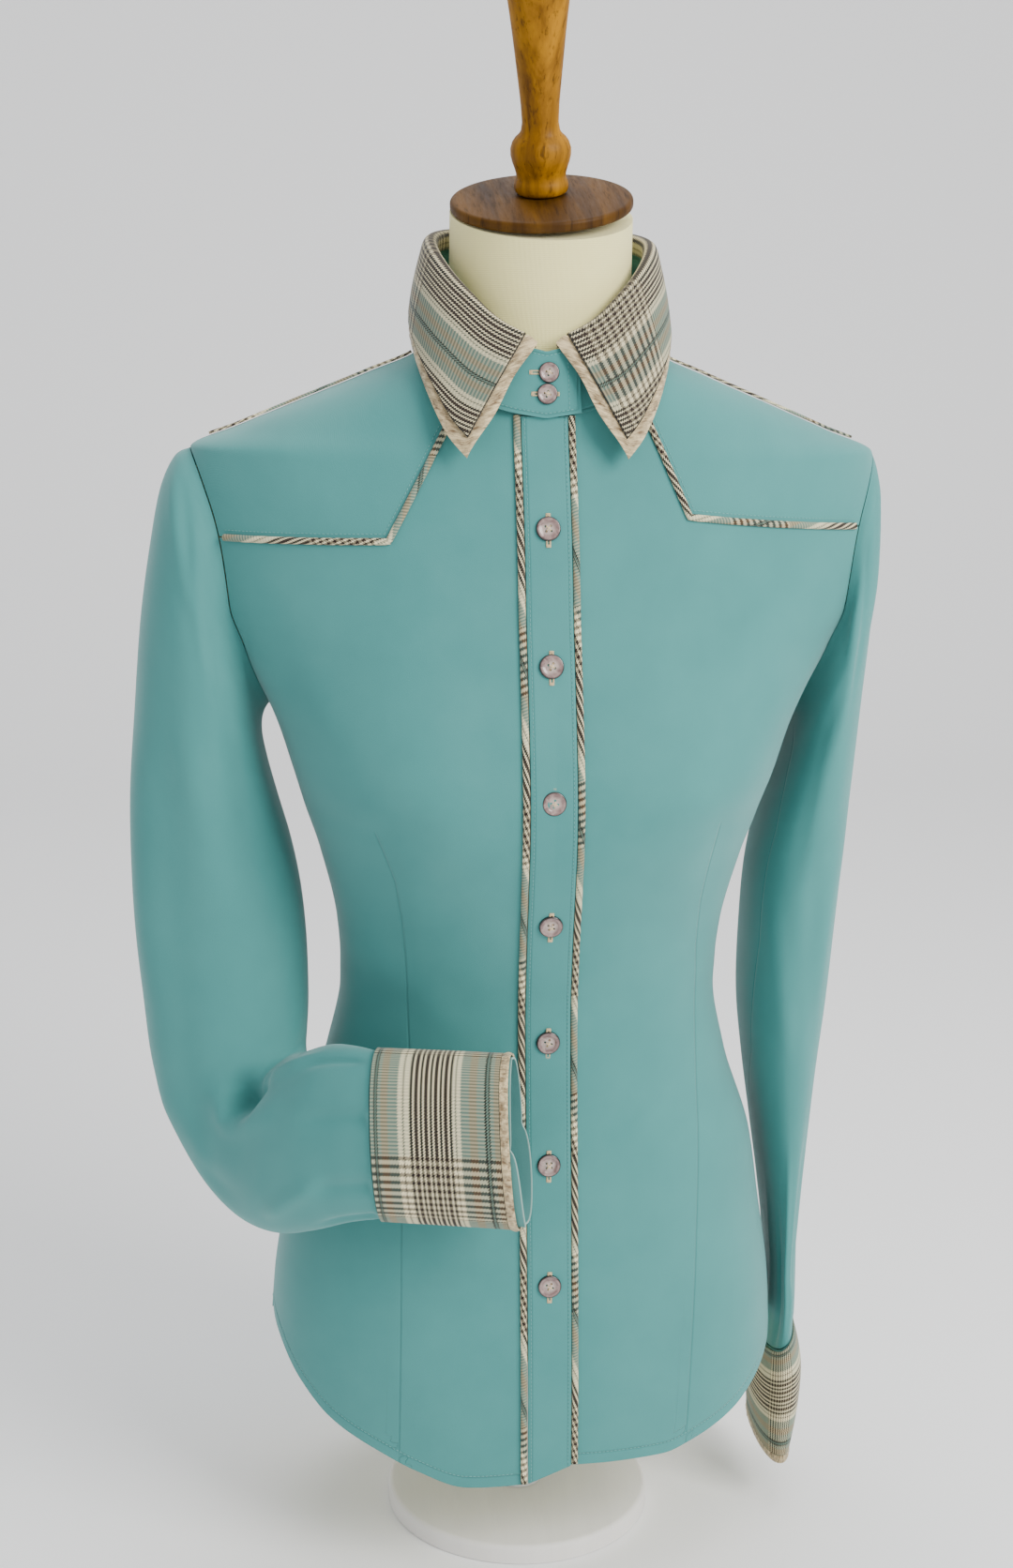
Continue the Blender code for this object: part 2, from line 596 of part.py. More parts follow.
def make_piping(plaid):
    thick = 1.3 * MM
    crown = 0.7 * MM
    for side, name, hem in (
        (-1, "piping_placket_right", HEM_RIGHT),
        (1, "piping_placket_left", HEM_LEFT),
    ):
        z = front_rows(hem)
        z[[0, -1]] = z[0] + 1 * MM, PLACKET_TOP + 1 * MM
        around = around_at_x(opening_x(z) + PIPING_CENTRE * side, z)
        strip(name, np.stack([around, z], -1), PIPING_HALF, LAY, thick, plaid, crown)
    for side, yoke, name in ((-1, YOKE_RIGHT, "right"), (1, YOKE_LEFT, "left")):
        seam = yoke_line(yoke, 7, 9)
        seam[0] = seam[0] * 0.9 + seam[1] * 0.1
        seam[-1] = seam[-1] * 0.85 + seam[-2] * 0.15
        seam = seam * (side, 1)
        strip("piping_yoke_" + name, seam, PIPING_HALF, LAY, thick, plaid, crown)
        shoulder = line((1.0, float(seam_z(NECK_SEAM, 1.0))), armhole(0.0), 7) * (side, 1)
        shoulder[0] = shoulder[0] * 0.85 + shoulder[1] * 0.15
        shoulder[-1] = shoulder[-1] * 0.85 + shoulder[-2] * 0.15
        strip("piping_shoulder_" + name, shoulder, PIPING_HALF, LAY, thick, plaid, crown)
    half = spread(back_yoke_line(40), 12)
    half[0] = half[0] * 0.85 + half[1] * 0.15
    around, z = mirrored(half[None])
    seam = np.stack([around[0], z[0]], -1)
    strip("piping_yoke_back", seam, PIPING_HALF, LAY, thick, plaid, crown)


def make_placket(teal):
    x = np.linspace(-PLACKET_HALF, PLACKET_HALF, 4)
    z = np.repeat(front_rows(HEM_LEFT)[:, None], len(x), axis=1)
    z[0] = np.linspace(seam_z(HEM_RIGHT, 0.0), seam_z(HEM_LEFT, 0.0), len(x)) - 0.5 * MM
    z[-1] = PLACKET_TOP
    grid = on_shirt(around_at_x(opening_x(z) + x, z), z, 1.5 * LAY + CLOTH)
    sheet("placket", grid, teal, thick=CLOTH)


def on_placket(z):
    """The placket's middle at a height, on the flat between two of its rows, and the way that faces."""
    rows = front_rows(HEM_LEFT)
    rows[-1] = PLACKET_TOP
    above = np.searchsorted(rows, z)
    ends = rows[[above - 1, above]]
    low, high = on_shirt(around_at_x(opening_x(ends), ends), ends, 1.5 * LAY + CLOTH)
    normal = np.cross((1, 0, 0), high - low)
    normal /= np.linalg.norm(normal)
    return low + (high - low) * (z - ends[0]) / (ends[1] - ends[0]), normal


def button(name, centre, normal, radius, finish):
    """A sew-through button: flat back, rounded rim and a dished face."""
    rim = BUTTON_THICK / 2
    profile = [(0.0, BUTTON_THICK - 0.7 * MM), (radius * 0.6, BUTTON_THICK - 0.7 * MM)]
    profile += arc(radius - rim, rim, rim, 80, -45, 3)
    profile += [(radius * 0.7, 0.0), (0.0, 0.0)]
    made = turned_piece(name, profile, finish, steps=16)
    made.rotation_mode = "QUATERNION"
    made.rotation_quaternion = quaternion_to(normal)
    made.location = centre
    return made


def quaternion_to(direction):
    """The turn that carries +Z to a direction."""
    direction = np.asarray(direction, float) / np.linalg.norm(direction)
    axis = np.cross((0, 0, 1), direction)
    scalar = 1 + direction[2]
    quaternion = np.array([scalar, *axis])
    return (quaternion / np.linalg.norm(quaternion)).tolist()


def make_buttons(pearl):
    for number in range(BUTTONS):
        z = FIRST_BUTTON_Z - BUTTON_SPACING * number
        point, normal = on_placket(z)
        button(f"button_{number + 1}", point + normal * LAY, normal, BUTTON_RADIUS, pearl)
    for name, x, z in COLLAR_BUTTONS:
        around = float(around_at_x(opening_x(z) + x, z))
        centre = on_shirt(around, z, 5 * LAY + 2 * CLOTH)
        normal = outward(around, z)
        button("collar_button_" + name, centre, normal, COLLAR_BUTTON_RADIUS, pearl)


# Sleeves and cuffs

def tube(sections, places, count, grow=0.0, power=2.2):
    """Rings of points round a sleeve at places from 0 to 1 along it. In a ring the outer point comes
    first, then the front, the inner and the back."""
    rings = len(places)
    at = rounded(np.asarray(places), sections)
    outer, inner = at[:, 0:3], at[:, 3:6]
    deep, facing = at[:, 6], np.radians(at[:, 7])
    side = np.sign(at[0, 0])
    centre = (outer + inner) / 2
    across = (outer - inner) / 2
    wide = np.linalg.norm(across, axis=1)
    across = across / wide[:, None]
    front = np.stack([side * np.sin(facing), -np.cos(facing), np.zeros(rings)], -1)
    front -= across * np.sum(front * across, axis=1)[:, None]
    front /= np.linalg.norm(front, axis=1)[:, None]
    angle = np.linspace(0, 2 * math.pi, count, endpoint=False)
    cosine, sine = np.cos(angle), np.sin(angle)
    reach = (np.abs(cosine) ** power + np.abs(sine) ** power) ** (-1 / power)
    return (
        centre[:, None]
        + across[:, None] * ((wide + grow)[:, None] * (cosine * reach))[..., None]
        + front[:, None] * ((deep + grow)[:, None] * (sine * reach))[..., None]
    )


def sleeve_grid(sections, rings, count):
    """A sleeve whose first ring is the armhole seam, easing into its own sections."""
    grid = tube(sections, np.linspace(0, 1, rings), count)
    side = 1 if sections[0].outer_x > 0 else -1
    seam = armhole(np.arange(count) / count)
    loop = on_shirt(seam[:, 0], seam[:, 1])
    centre = loop.mean(axis=0)
    away = outward(seam[:, 0], seam[:, 1])
    along = np.roll(loop, -1, axis=0) - np.roll(loop, 1, axis=0)
    leaving = np.cross(along, away)
    leaving /= np.linalg.norm(leaving, axis=1)[:, None]
    leaving *= np.sign(leaving[:, :1])
    loop = loop + leaving * SLEEVE_SEAM_GAP
    loop[:, 0] *= side
    fade = 1 - np.clip(np.linspace(0, 1, rings) / 0.22, 0, 1)
    fade = fade**2 * (3 - 2 * fade)
    return grid + (loop - grid[0])[None] * fade[:, None, None]


def make_sleeves(teal):
    bent = sleeve_grid(BENT_SLEEVE, 24, SLEEVE_POINTS)
    hanging = sleeve_grid(HANGING_SLEEVE, 19, SLEEVE_POINTS)
    sheet("sleeve_right", bent, teal, turned=True, tube=True)
    sheet("sleeve_left", hanging, teal, tube=True)


def cuff_lap(lining):
    """The cuff's two rounded ends lap at its back, where the lining stands out past the band."""
    along = lining[-1] - lining[-2]
    along /= np.linalg.norm(along, axis=1)[:, None]
    turn = np.arange(CUFF_POINTS) / CUFF_POINTS
    from_lap = np.abs(turn - 0.75) / 0.22
    lobe = np.clip(1 - from_lap**2, 0, 1) ** 0.5 * np.clip(from_lap * 4, 0.3, 1)
    return along * (CUFF_LAP * lobe)[:, None]


def make_cuffs(plaid, tan, teal, pearl):
    for side, name, sections in ((-1, "right", BENT_CUFF), (1, "left", HANGING_CUFF)):
        length = np.linalg.norm(
            np.subtract(sections[-1][:3], sections[0][:3])
            + np.subtract(sections[-1][3:6], sections[0][3:6])
        ) / 2
        band = CUFF_BAND / length
        turned = side < 0
        gap = SEAM_HALF_GAP / length
        places = list(np.linspace(0, 1 - band - gap, 4))
        band_places = [1 - band + gap, 1.0]
        cuff = tube(sections, places, CUFF_POINTS, grow=CUFF_LIFT)
        sheet("cuff_" + name, cuff, plaid, thick=CLOTH, turned=turned, tube=True)
        edge = tube(sections, band_places, CUFF_POINTS, grow=CUFF_LIFT)
        sheet("cuff_band_" + name, edge, tan, thick=CLOTH, turned=turned, tube=True)
        lining = tube(sections, places + band_places, CUFF_POINTS, grow=CUFF_LIFT - CLOTH - 2 * LAY)
        lining[-1] += cuff_lap(lining)
        sheet("cuff_lining_" + name, lining, teal, thick=CLOTH, turned=turned, tube=True)
        make_cuff_button(name, sections, pearl)


def make_cuff_button(name, sections, pearl):
    """One button on the lap at the cuff's back."""
    lap = CUFF_POINTS * 3 // 4
    rings = tube(sections, [0.50, 0.55], CUFF_POINTS, grow=CUFF_LIFT)
    normal = np.cross(rings[1, lap] - rings[0, lap], rings[0, lap + 1] - rings[0, lap - 1])
    normal /= np.linalg.norm(normal)
    normal *= np.sign(normal @ (rings[0, lap] - rings[0].mean(axis=0)))
    button("cuff_button_" + name, rings[0, lap] + normal * LAY, normal, BUTTON_RADIUS, pearl)


# Collar

def make_collar(teal, tan, plaid):
    """The stand laps right over left at the front; the fold collar's two layers hang from its top."""
    around = np.concatenate([np.linspace(-0.16, 2, 22), np.linspace(2, 4 + 0.17, 23)[1:]])
    turned_in = np.where(around > 2, around - 4, around)
    on_top = np.clip((around - 3.2) / 0.5, 0, 1)
    lift = LAY + CLOTH + (CLOTH + 3 * LAY) * on_top**2 * (3 - 2 * on_top)
    rows = []
    for share in (0, 0.5, 1):
        low = seam_z(NECK_SEAM, turned_in) + 0.4 * MM
        high = seam_z(STAND_TOP, turned_in)
        end = np.clip((around - (4 + 0.17 - 0.06)) / 0.06, 0, 1)
        high = high - 0.010 * end**2
        row = on_shirt(turned_in, low + (high - low) * share, lift)
        rows.append(towards_opening(row))
    sheet("collar_stand", np.stack(rows), teal, thick=CLOTH)

    for name, finish, front, rim, layer in (
        ("collar_under", tan, 0.0, 0.0, 0.0),
        ("collar_top", plaid, 0.028, COLLAR_RIM, 2.0 * LAY + CLOTH),
    ):
        grid = collar_grid(front, rim, layer)
        grid = np.concatenate([grid, grid[:, -2::-1] * (-1, 1, 1)], 1)
        sheet(name, towards_opening(grid), finish)


def towards_opening(grid):
    """The collar's front sits over the opening, a little to the wearer's right of the neck's middle."""
    to_front = np.clip(-grid[..., 1:2] / 0.08, 0, 1)
    return grid + to_front * (opening_x(COLLAR[0].edge_z), 0, 0)


def collar_grid(front, rim, layer):
    """One layer of the fold collar, on +X: from its outer edge up over the fold to the stand's top."""
    at = rounded(np.linspace(front, 1, 13), COLLAR)
    around, fold_z, edge = at[:, 0], at[:, 1], at[:, 2:5]
    seam = on_shirt(around, seam_z(STAND_TOP, around) + 2 * LAY, COLLAR_ROLL * 0.35)
    inner = on_shirt(around, fold_z - COLLAR_ROLL * 0.5, COLLAR_ROLL * 0.25)
    crest = on_shirt(around, fold_z, COLLAR_ROLL)
    fold = on_shirt(around, fold_z - COLLAR_ROLL * 0.7, COLLAR_ROLL * 1.75)
    drop = edge - fold
    reach = np.linalg.norm(drop, axis=1)
    facing = np.cross(np.gradient(fold, axis=0), -drop)
    facing /= np.linalg.norm(facing, axis=1)[:, None]
    rows = [seam, inner, crest]
    for share in np.linspace(0, 1, 6):
        share = share * (1 - rim / reach)
        swell = COLLAR_SWELL * np.sin(share * math.pi)
        rows.append(fold + drop * share[:, None] + facing * swell[:, None])
    grid = np.stack(rows[::-1])
    normal = np.cross(np.gradient(grid, axis=1), np.gradient(grid, axis=0))
    normal /= np.linalg.norm(normal, axis=-1, keepdims=True)
    return grid + normal * layer


# Dress form

def make_form(jersey, walnut, oak, lacquer):
    count = 24
    heights = np.concatenate([
        np.linspace(TORSO_BOTTOM, 0.50, 8), np.linspace(0.535, 0.66, 5), FORM_SHOULDER_LEVELS
    ])
    angle = np.linspace(-2, 2, count, endpoint=False)
    grid = []
    lean = math.tan(math.radians(CAP_TILT))
    for z in heights:
        inset = float(level(z)["slack"])
        ring = surface(angle, np.full(count, z + FORM_DROP), inset=inset)
        ring[:, 2] = z
        if z > 0.74:
            ring[:, 2] += (z - 0.74) / 0.06 * lean * (ring[:, 1] - CAP_CENTRE[1])
        grid.append(ring)
    top = grid[-1].copy()
    top[:, 2] = 0.8225 + lean * (top[:, 1] - CAP_CENTRE[1])
    grid.append(top)
    grid = np.stack(grid)
    mesh = bpy.data.meshes.new("form_torso")
    total = len(grid)
    faces = [
        (r * count + i, r * count + (i + 1) % count, (r + 1) * count + (i + 1) % count, (r + 1) * count + i)
        for r in range(total - 1)
        for i in range(count)
    ]
    faces.append(tuple(range(count))[::-1])
    faces.append(tuple((total - 1) * count + i for i in range(count)))
    mesh.from_pydata(grid.reshape(-1, 3).tolist(), [], faces)
    place("form_torso", mesh, jersey)

    tilt = (math.radians(CAP_TILT), math.radians(CAP_SIDE_TILT), 0)
    rim = 2.6 * MM
    cap = [(0.0, 9.0 * MM), (CAP_RADIUS * 0.55, 8.2 * MM), (CAP_RADIUS - 2 * rim, 6.6 * MM)]
    cap += arc(CAP_RADIUS - rim, rim, rim, 75, -75, 5)
    cap += [(CAP_RADIUS - 2 * rim, 0.0), (0.0, 0.0)]
    place_on_neck(turned_piece("neck_cap", cap, walnut, steps=28), tilt, 0.0)
    finial = [(0.0, FINIAL[-1].height)]
    finial += [(row.radius, row.height) for row in reversed(FINIAL)]
    finial += [(0.0, FINIAL[0].height)]
    place_on_neck(turned_piece("finial", finial, oak, steps=16), tilt, 9.3 * MM)

    stem = [(0.0, TORSO_BOTTOM - LAY), (STEM_RADIUS, TORSO_BOTTOM - LAY)]
    stem += [(STEM_RADIUS, FOOT_THICK + LAY), (0.0, FOOT_THICK + LAY)]
    turned_piece("stem", stem, lacquer, steps=16)
    foot = [(0.0, FOOT_THICK), (FOOT_RADIUS - 4 * MM, FOOT_THICK)]
    foot += arc(FOOT_RADIUS - 4 * MM, FOOT_THICK - 4 * MM, 4 * MM, 70, 0, 4)
    foot += [(FOOT_RADIUS, 0.0), (0.0, 0.0)]
    turned_piece("foot", foot, lacquer, steps=32)


def place_on_neck(piece, tilt, above):
    """Seats a turned piece on the neck's tilted top, or above it along the same axis."""
    x, y, z = CAP_CENTRE
    piece.rotation_euler = tilt
    lean = above * math.sin(tilt[1])
    piece.location = (x + lean, y - above * math.sin(tilt[0]), z + above * math.cos(tilt[0]))


def main():
    for old in list(bpy.data.objects):
        bpy.data.objects.remove(old)
    bpy.context.scene.collection.children.link(shirt)
    teal = material("teal_crepe", (0.16, 0.37, 0.36), 0.7)
    plaid = material("plaid_shirting", (0.50, 0.47, 0.38), 0.75)
    tan = material("tan_jacquard", (0.52, 0.38, 0.29), 0.45)
    pearl = material("smoky_pearl", (0.43, 0.32, 0.32), 0.25)
    jersey = material("cream_jersey", (0.83, 0.78, 0.62), 0.9)
    walnut = material("dark_walnut", (0.11, 0.045, 0.015), 0.35)
    oak = material("golden_wood", (0.30, 0.12, 0.035), 0.4)
    lacquer = material("pale_lacquer", (0.80, 0.78, 0.72), 0.4)
    make_fronts(teal)
    make_front_yokes(teal)
    make_back(teal)
    make_piping(plaid)
    make_placket(teal)
    make_buttons(pearl)
    make_sleeves(teal)
    make_cuffs(plaid, tan, teal, pearl)
    make_collar(teal, tan, plaid)
    make_form(jersey, walnut, oak, lacquer)


main()
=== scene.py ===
import math
from collections import namedtuple
from functools import partialmethod

import bpy
import numpy as np
from mathutils import Euler, Matrix, Vector


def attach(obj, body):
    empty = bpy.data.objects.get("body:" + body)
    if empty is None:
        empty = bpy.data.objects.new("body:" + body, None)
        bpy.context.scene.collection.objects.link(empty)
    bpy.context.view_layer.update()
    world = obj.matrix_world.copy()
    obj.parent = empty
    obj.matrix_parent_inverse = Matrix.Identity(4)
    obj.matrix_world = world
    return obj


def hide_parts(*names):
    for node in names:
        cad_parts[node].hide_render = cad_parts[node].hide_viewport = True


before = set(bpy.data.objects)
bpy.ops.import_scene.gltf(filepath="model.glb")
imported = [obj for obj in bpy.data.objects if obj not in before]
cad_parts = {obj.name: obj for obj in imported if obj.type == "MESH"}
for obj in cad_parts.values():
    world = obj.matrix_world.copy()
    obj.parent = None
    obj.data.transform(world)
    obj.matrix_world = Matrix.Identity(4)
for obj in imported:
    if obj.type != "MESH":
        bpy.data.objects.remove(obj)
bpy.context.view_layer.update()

MM = 0.001


# The photographer's place: a camera on a tripod at collar height, a little to the wearer's right, looking
# down the front of the shirt. Its picture is 1080 x 1672 and its axis leans by under a degree.
VIEW_FROM = (-0.1639, -1.3350, 0.8060)
VIEW_HEADING = math.radians(-6.38)
VIEW_DOWN = math.radians(13.5)
VIEW_ROLL = math.radians(-0.93)
SENSOR_MM = 36.0
FOCAL_PIXELS, PICTURE_HIGH = 2400, 1672
ahead = Vector((-math.sin(VIEW_HEADING), math.cos(VIEW_HEADING), 0))
rightward = Vector((math.cos(VIEW_HEADING), math.sin(VIEW_HEADING), 0))
forward = ahead * math.cos(VIEW_DOWN) - Vector((0, 0, 1)) * math.sin(VIEW_DOWN)
upward = rightward.cross(forward)
picture_right = rightward * math.cos(VIEW_ROLL) - upward * math.sin(VIEW_ROLL)
picture_up = upward * math.cos(VIEW_ROLL) + rightward * math.sin(VIEW_ROLL)
bpy.ops.object.camera_add()
camera = bpy.context.object
camera.name = "photo_camera"
facing = Matrix((picture_right, picture_up, -forward)).transposed()
camera.matrix_world = Matrix.Translation(VIEW_FROM) @ facing.to_4x4()
camera.data.sensor_width = SENSOR_MM
camera.data.lens = SENSOR_MM * FOCAL_PIXELS / PICTURE_HIGH
camera.data.clip_start = 0.05
bpy.context.scene.camera = camera


# The studio: a pale floor that sweeps up behind, and three broad soft lights, the largest in front.
for name, place, aim, size, watts, colour in (
    ("front_softbox", (1.45, -1.55, 1.80), (0, 0, 0.50), (1.3, 1.3), 76, (1.0, 0.985, 0.955)),
    ("side_softbox", (-1.7, -1.3, 1.20), (0, 0, 0.45), (1.0, 1.6), 3, (0.95, 0.98, 1.0)),
    ("top_softbox", (0.1, 0.3, 2.3), (0, -0.05, 0.50), (1.6, 1.2), 22, (1.0, 1.0, 1.0)),
):
    bpy.ops.object.light_add(type="AREA", location=place)
    light = bpy.context.object
    light.name = name
    light.data.shape = "RECTANGLE"
    light.data.size, light.data.size_y = size
    light.data.energy = watts
    light.data.color = colour
    light.rotation_euler = (Vector(aim) - Vector(place)).to_track_quat("-Z", "Y").to_euler()

world = bpy.data.worlds.new("pale_room")
world.use_nodes = True
room_light = world.node_tree.nodes["Background"].inputs
room_light["Color"].default_value = (0.96, 0.97, 1.0, 1)
room_light["Strength"].default_value = 0.75
bpy.context.scene.world = world


def new_material(name, colour, roughness, **more):
    """A material, its node tree and its shader. More inputs are named with _ for each space."""
    made = bpy.data.materials.new(name)
    made.use_nodes = True
    shader = made.node_tree.nodes["Principled BSDF"]
    shader.inputs["Base Color"].default_value = (*colour[:3], 1)
    shader.inputs["Roughness"].default_value = roughness
    for label, value in more.items():
        shader.inputs[label.replace("_", " ")].default_value = value
    return made, made.node_tree, shader


FLOOR_WIDE, FLOOR_LONG, FLOOR_LOW, WALL_HIGH = 6, 4, -0.5 * MM, 4
SWEEP_STEPS, SWEEP_STEP = 8, 0.11
y, z = FLOOR_LONG / 2, FLOOR_LOW
profile = [(-y, z), (y, z)]
for step in range(SWEEP_STEPS):
    rise = math.radians(6 + 11 * step)
    y, z = y + SWEEP_STEP * math.cos(rise), z + SWEEP_STEP * math.sin(rise)
    profile.append((y, z))
profile.append((y, z + WALL_HIGH))
mesh = bpy.data.meshes.new("studio_floor")
mesh.from_pydata([(x, y, z) for y, z in profile for x in (-FLOOR_WIDE / 2, FLOOR_WIDE / 2)], [],
                 [(i, i + 1, i + 3, i + 2) for i in range(0, 2 * len(profile) - 2, 2)])
mesh.shade_smooth()
mesh.materials.append(new_material("studio_paper", (0.94, 0.94, 0.94), 0.9)[0])
floor = bpy.data.objects.new("studio_floor", mesh)
bpy.context.collection.objects.link(floor)


# The worn shape that every cloth piece follows: the shirt's outside on the form, level by level. Places on
# it are (around, z): around is 0 at centre front, +-1 at the sides and shoulders, +-2 at centre back.
def table(row_type, *rows):
    return [row_type(*row) for row in rows]


Level = namedtuple("Level", "z half front back centre power slack")
LEVELS = table(
    Level,
    (0.040, 0.1600, 0.111, 0.106, 0.000, 2.3, 0.005),
    (0.120, 0.1610, 0.111, 0.108, 0.000, 2.3, 0.005),
    (0.160, 0.1590, 0.110, 0.109, 0.000, 2.3, 0.005),
    (0.220, 0.1500, 0.106, 0.104, 0.000, 2.3, 0.004),
    (0.262, 0.1430, 0.103, 0.097, 0.000, 2.3, 0.004),
    (0.317, 0.1250, 0.098, 0.088, 0.000, 2.2, 0.004),
    (0.366, 0.1160, 0.096, 0.085, 0.000, 2.2, 0.004),
    (0.400, 0.1185, 0.101, 0.087, 0.000, 2.2, 0.004),
    (0.448, 0.1295, 0.113, 0.093, 0.000, 2.2, 0.004),
    (0.475, 0.1385, 0.119, 0.097, 0.000, 2.2, 0.005),
    (0.500, 0.1460, 0.121, 0.099, 0.001, 2.4, 0.005),
    (0.535, 0.1580, 0.117, 0.101, 0.002, 2.5, 0.006),
    (0.578, 0.1830, 0.108, 0.101, 0.003, 2.2, 0.007),
    (0.600, 0.1980, 0.103, 0.100, 0.004, 2.1, 0.007),
    (0.634, 0.2070, 0.097, 0.096, 0.004, 2.0, 0.006),
    (0.660, 0.2085, 0.090, 0.090, 0.004, 2.0, 0.006),
    (0.688, 0.2035, 0.081, 0.080, 0.004, 2.0, 0.005),
    (0.700, 0.1760, 0.077, 0.075, 0.004, 2.0, 0.004),
    (0.715, 0.1400, 0.073, 0.070, 0.003, 2.0, 0.004),
    (0.732, 0.0990, 0.069, 0.063, 0.002, 2.0, 0.005),
    (0.744, 0.0720, 0.066, 0.058, 0.001, 2.0, 0.006),
    (0.755, 0.0640, 0.063, 0.055, 0.000, 2.0, 0.007),
    (0.780, 0.0615, 0.060, 0.055, -0.001, 2.0, 0.008),
    (0.810, 0.0610, 0.059, 0.055, -0.002, 2.0, 0.008),
    (0.850, 0.0605, 0.059, 0.055, -0.003, 2.0, 0.008),
)
BUST = dict(around=0.40, z=0.500, spread_around=0.24, spread_z=0.045, rise=0.009)


def column(rows, name):
    return np.array([getattr(row, name) for row in rows], float)


def eased(x, known_x, known_y):
    """A smooth curve through known points that never overshoots them."""
    steps = np.diff(known_x)
    slopes = np.diff(known_y) / steps
    before, after = slopes[:-1], slopes[1:]
    same_way = before * after > 0
    safe = np.where(same_way, before + after, 1.0)
    tangents = np.concatenate([slopes[:1], np.where(same_way, 2 * before * after / safe, 0.0), slopes[-1:]])
    x = np.clip(np.asarray(x, float), known_x[0], known_x[-1])
    i = np.clip(np.searchsorted(known_x, x) - 1, 0, len(steps) - 1)
    t = (x - known_x[i]) / steps[i]
    return (
        known_y[i] * (1 + 2 * t) * (1 - t) ** 2
        + known_y[i + 1] * (3 - 2 * t) * t**2
        + steps[i] * (tangents[i] * t * (1 - t) ** 2 - tangents[i + 1] * t**2 * (1 - t))
    )


def level(z):
    known = column(LEVELS, "z")
    return {name: eased(z, known, column(LEVELS, name)) for name in Level._fields[1:]}


def eased_share(share):
    """0 to 1, leaving 0 and reaching 1 gently."""
    share = np.clip(share, 0, 1)
    return share**2 * (3 - 2 * share)


def unit(vectors):
    return vectors / np.linalg.norm(vectors, axis=-1, keepdims=True)


def surface(around, z, inset=0.0):
    around, z = np.broadcast_arrays(np.asarray(around, float), np.asarray(z, float))
    at = level(z)
    half = at["half"] - inset
    depth = np.where(np.abs(around) <= 1, at["front"], at["back"]) - inset
    angle = around * math.pi / 2
    sine, cosine = np.sin(angle), np.cos(angle)
    power = at["power"]
    reach = ((np.abs(sine) / half) ** power + (np.abs(cosine) / depth) ** power) ** (-1 / power)
    bust = np.exp(
        -((np.abs(around) - BUST["around"]) / BUST["spread_around"]) ** 2
        - ((z - BUST["z"]) / BUST["spread_z"]) ** 2
    )
    reach = reach + BUST["rise"] * bust
    return np.stack([reach * sine, at["centre"] - reach * cosine, z], -1)


def outward(around, z):
    step_around, step_z = 2e-3, 1e-3
    sideways = surface(around + step_around, z) - surface(around - step_around, z)
    upwards = surface(around, z + step_z) - surface(around, z - step_z)
    return unit(np.cross(sideways, upwards))


def on_shirt(around, z, lift=0.0):
    around, z = np.broadcast_arrays(np.asarray(around, float), np.asarray(z, float))
    return surface(around, z) + outward(around, z) * np.asarray(lift)[..., None]


def around_at_x(x, z):
    """The place round the front at a distance x from the middle."""
    at = level(z)
    share = np.clip(np.abs(x) / at["half"], 0, 1)
    y = at["front"] * (1 - share ** at["power"]) ** (1 / at["power"])
    return np.arctan2(x, y) / (math.pi / 2)


def around_at_y(y, z):
    """The place round the body, on the +X side, at a depth y."""
    at = level(z)
    off = y - at["centre"]
    depth = np.where(off < 0, at["front"], at["back"])
    x = at["half"] * (1 - np.clip(np.abs(off) / depth, 0, 1) ** at["power"]) ** (1 / at["power"])
    return np.arctan2(x, -off) / (math.pi / 2)


# The dress form: a torso and neck of foam under cream jersey, pulled tight, closed under the shirt. It is
# one smooth skin with fine vertical ribs in its knit, and its neck is cut aslant under the cap.
TORSO_BOTTOM = 0.150
FORM_DROP = 3 * MM
FORM_ROUND = 128
NECK_TOP, LEAN_FROM, LEAN_OVER = 0.8225, 0.74, 0.06
CAP_CENTRE = (0.0, -0.003, 0.826)
CAP_TILT = math.radians(16)
CAP_SIDE_TILT = math.radians(-4)
RIB, KNIT_ROW = 1.3 * MM, 1.0 * MM


class Value:
    """A node's output that can be reckoned with: each sum or product of it is a math node."""

    def __init__(self, socket):
        self.socket = socket
        self.tree = socket.id_data

    def math(self, operation, *others):
        return node(self.tree, "ShaderNodeMath", dict(enumerate((self, *others))), operation=operation)

    __add__ = partialmethod(math, "ADD")
    __sub__ = partialmethod(math, "SUBTRACT")
    __mul__ = partialmethod(math, "MULTIPLY")
    __truediv__ = partialmethod(math, "DIVIDE")

    def mapped(self, low, high, to_low=0.0, to_high=1.0):
        """0 to 1, or other ends, as the value goes from low to high."""
        return node(self.tree, "ShaderNodeMapRange", {0: self, 1: low, 2: high, 3: to_low, 4: to_high})

    def blend(self, first, second):
        """The first colour where the value is 0 and the second where it is 1."""
        return blend(self.tree, self, first, second)

    def output(self, name):
        """Another output of the same node."""
        return Value(self.socket.node.outputs[name])


def node(tree, kind, inputs=(), output=0, **settings):
    """Adds a node, sets its properties, fills its inputs with values or links, and gives one output."""
    made = tree.nodes.new(kind)
    for name, value in settings.items():
        setattr(made, name, value)
    for name, value in dict(inputs).items():
        if isinstance(value, Value):
            tree.links.new(value.socket, made.inputs[name])
        else:
            made.inputs[name].default_value = value
    return Value(made.outputs[output])


def blend(tree, share, first, second):
    return node(tree, "ShaderNodeMix", {0: share, 6: first, 7: second}, 2, data_type="RGBA")


def place_in(tree, kind="UV"):
    return node(tree, "ShaderNodeTexCoord", output=kind)


def noise(tree, place, scale, detail, **more):
    given = {"Vector": place, "Scale": scale, "Detail": detail}
    return node(tree, "ShaderNodeTexNoise", given | more, "Fac")


def attribute(tree, name):
    return node(tree, "ShaderNodeAttribute", output="Fac", attribute_name=name)


def bumped(tree, height, strength, distance, **under):
    given = {"Height": height, "Strength": strength, "Distance": distance}
    return node(tree, "ShaderNodeBump", given | under)


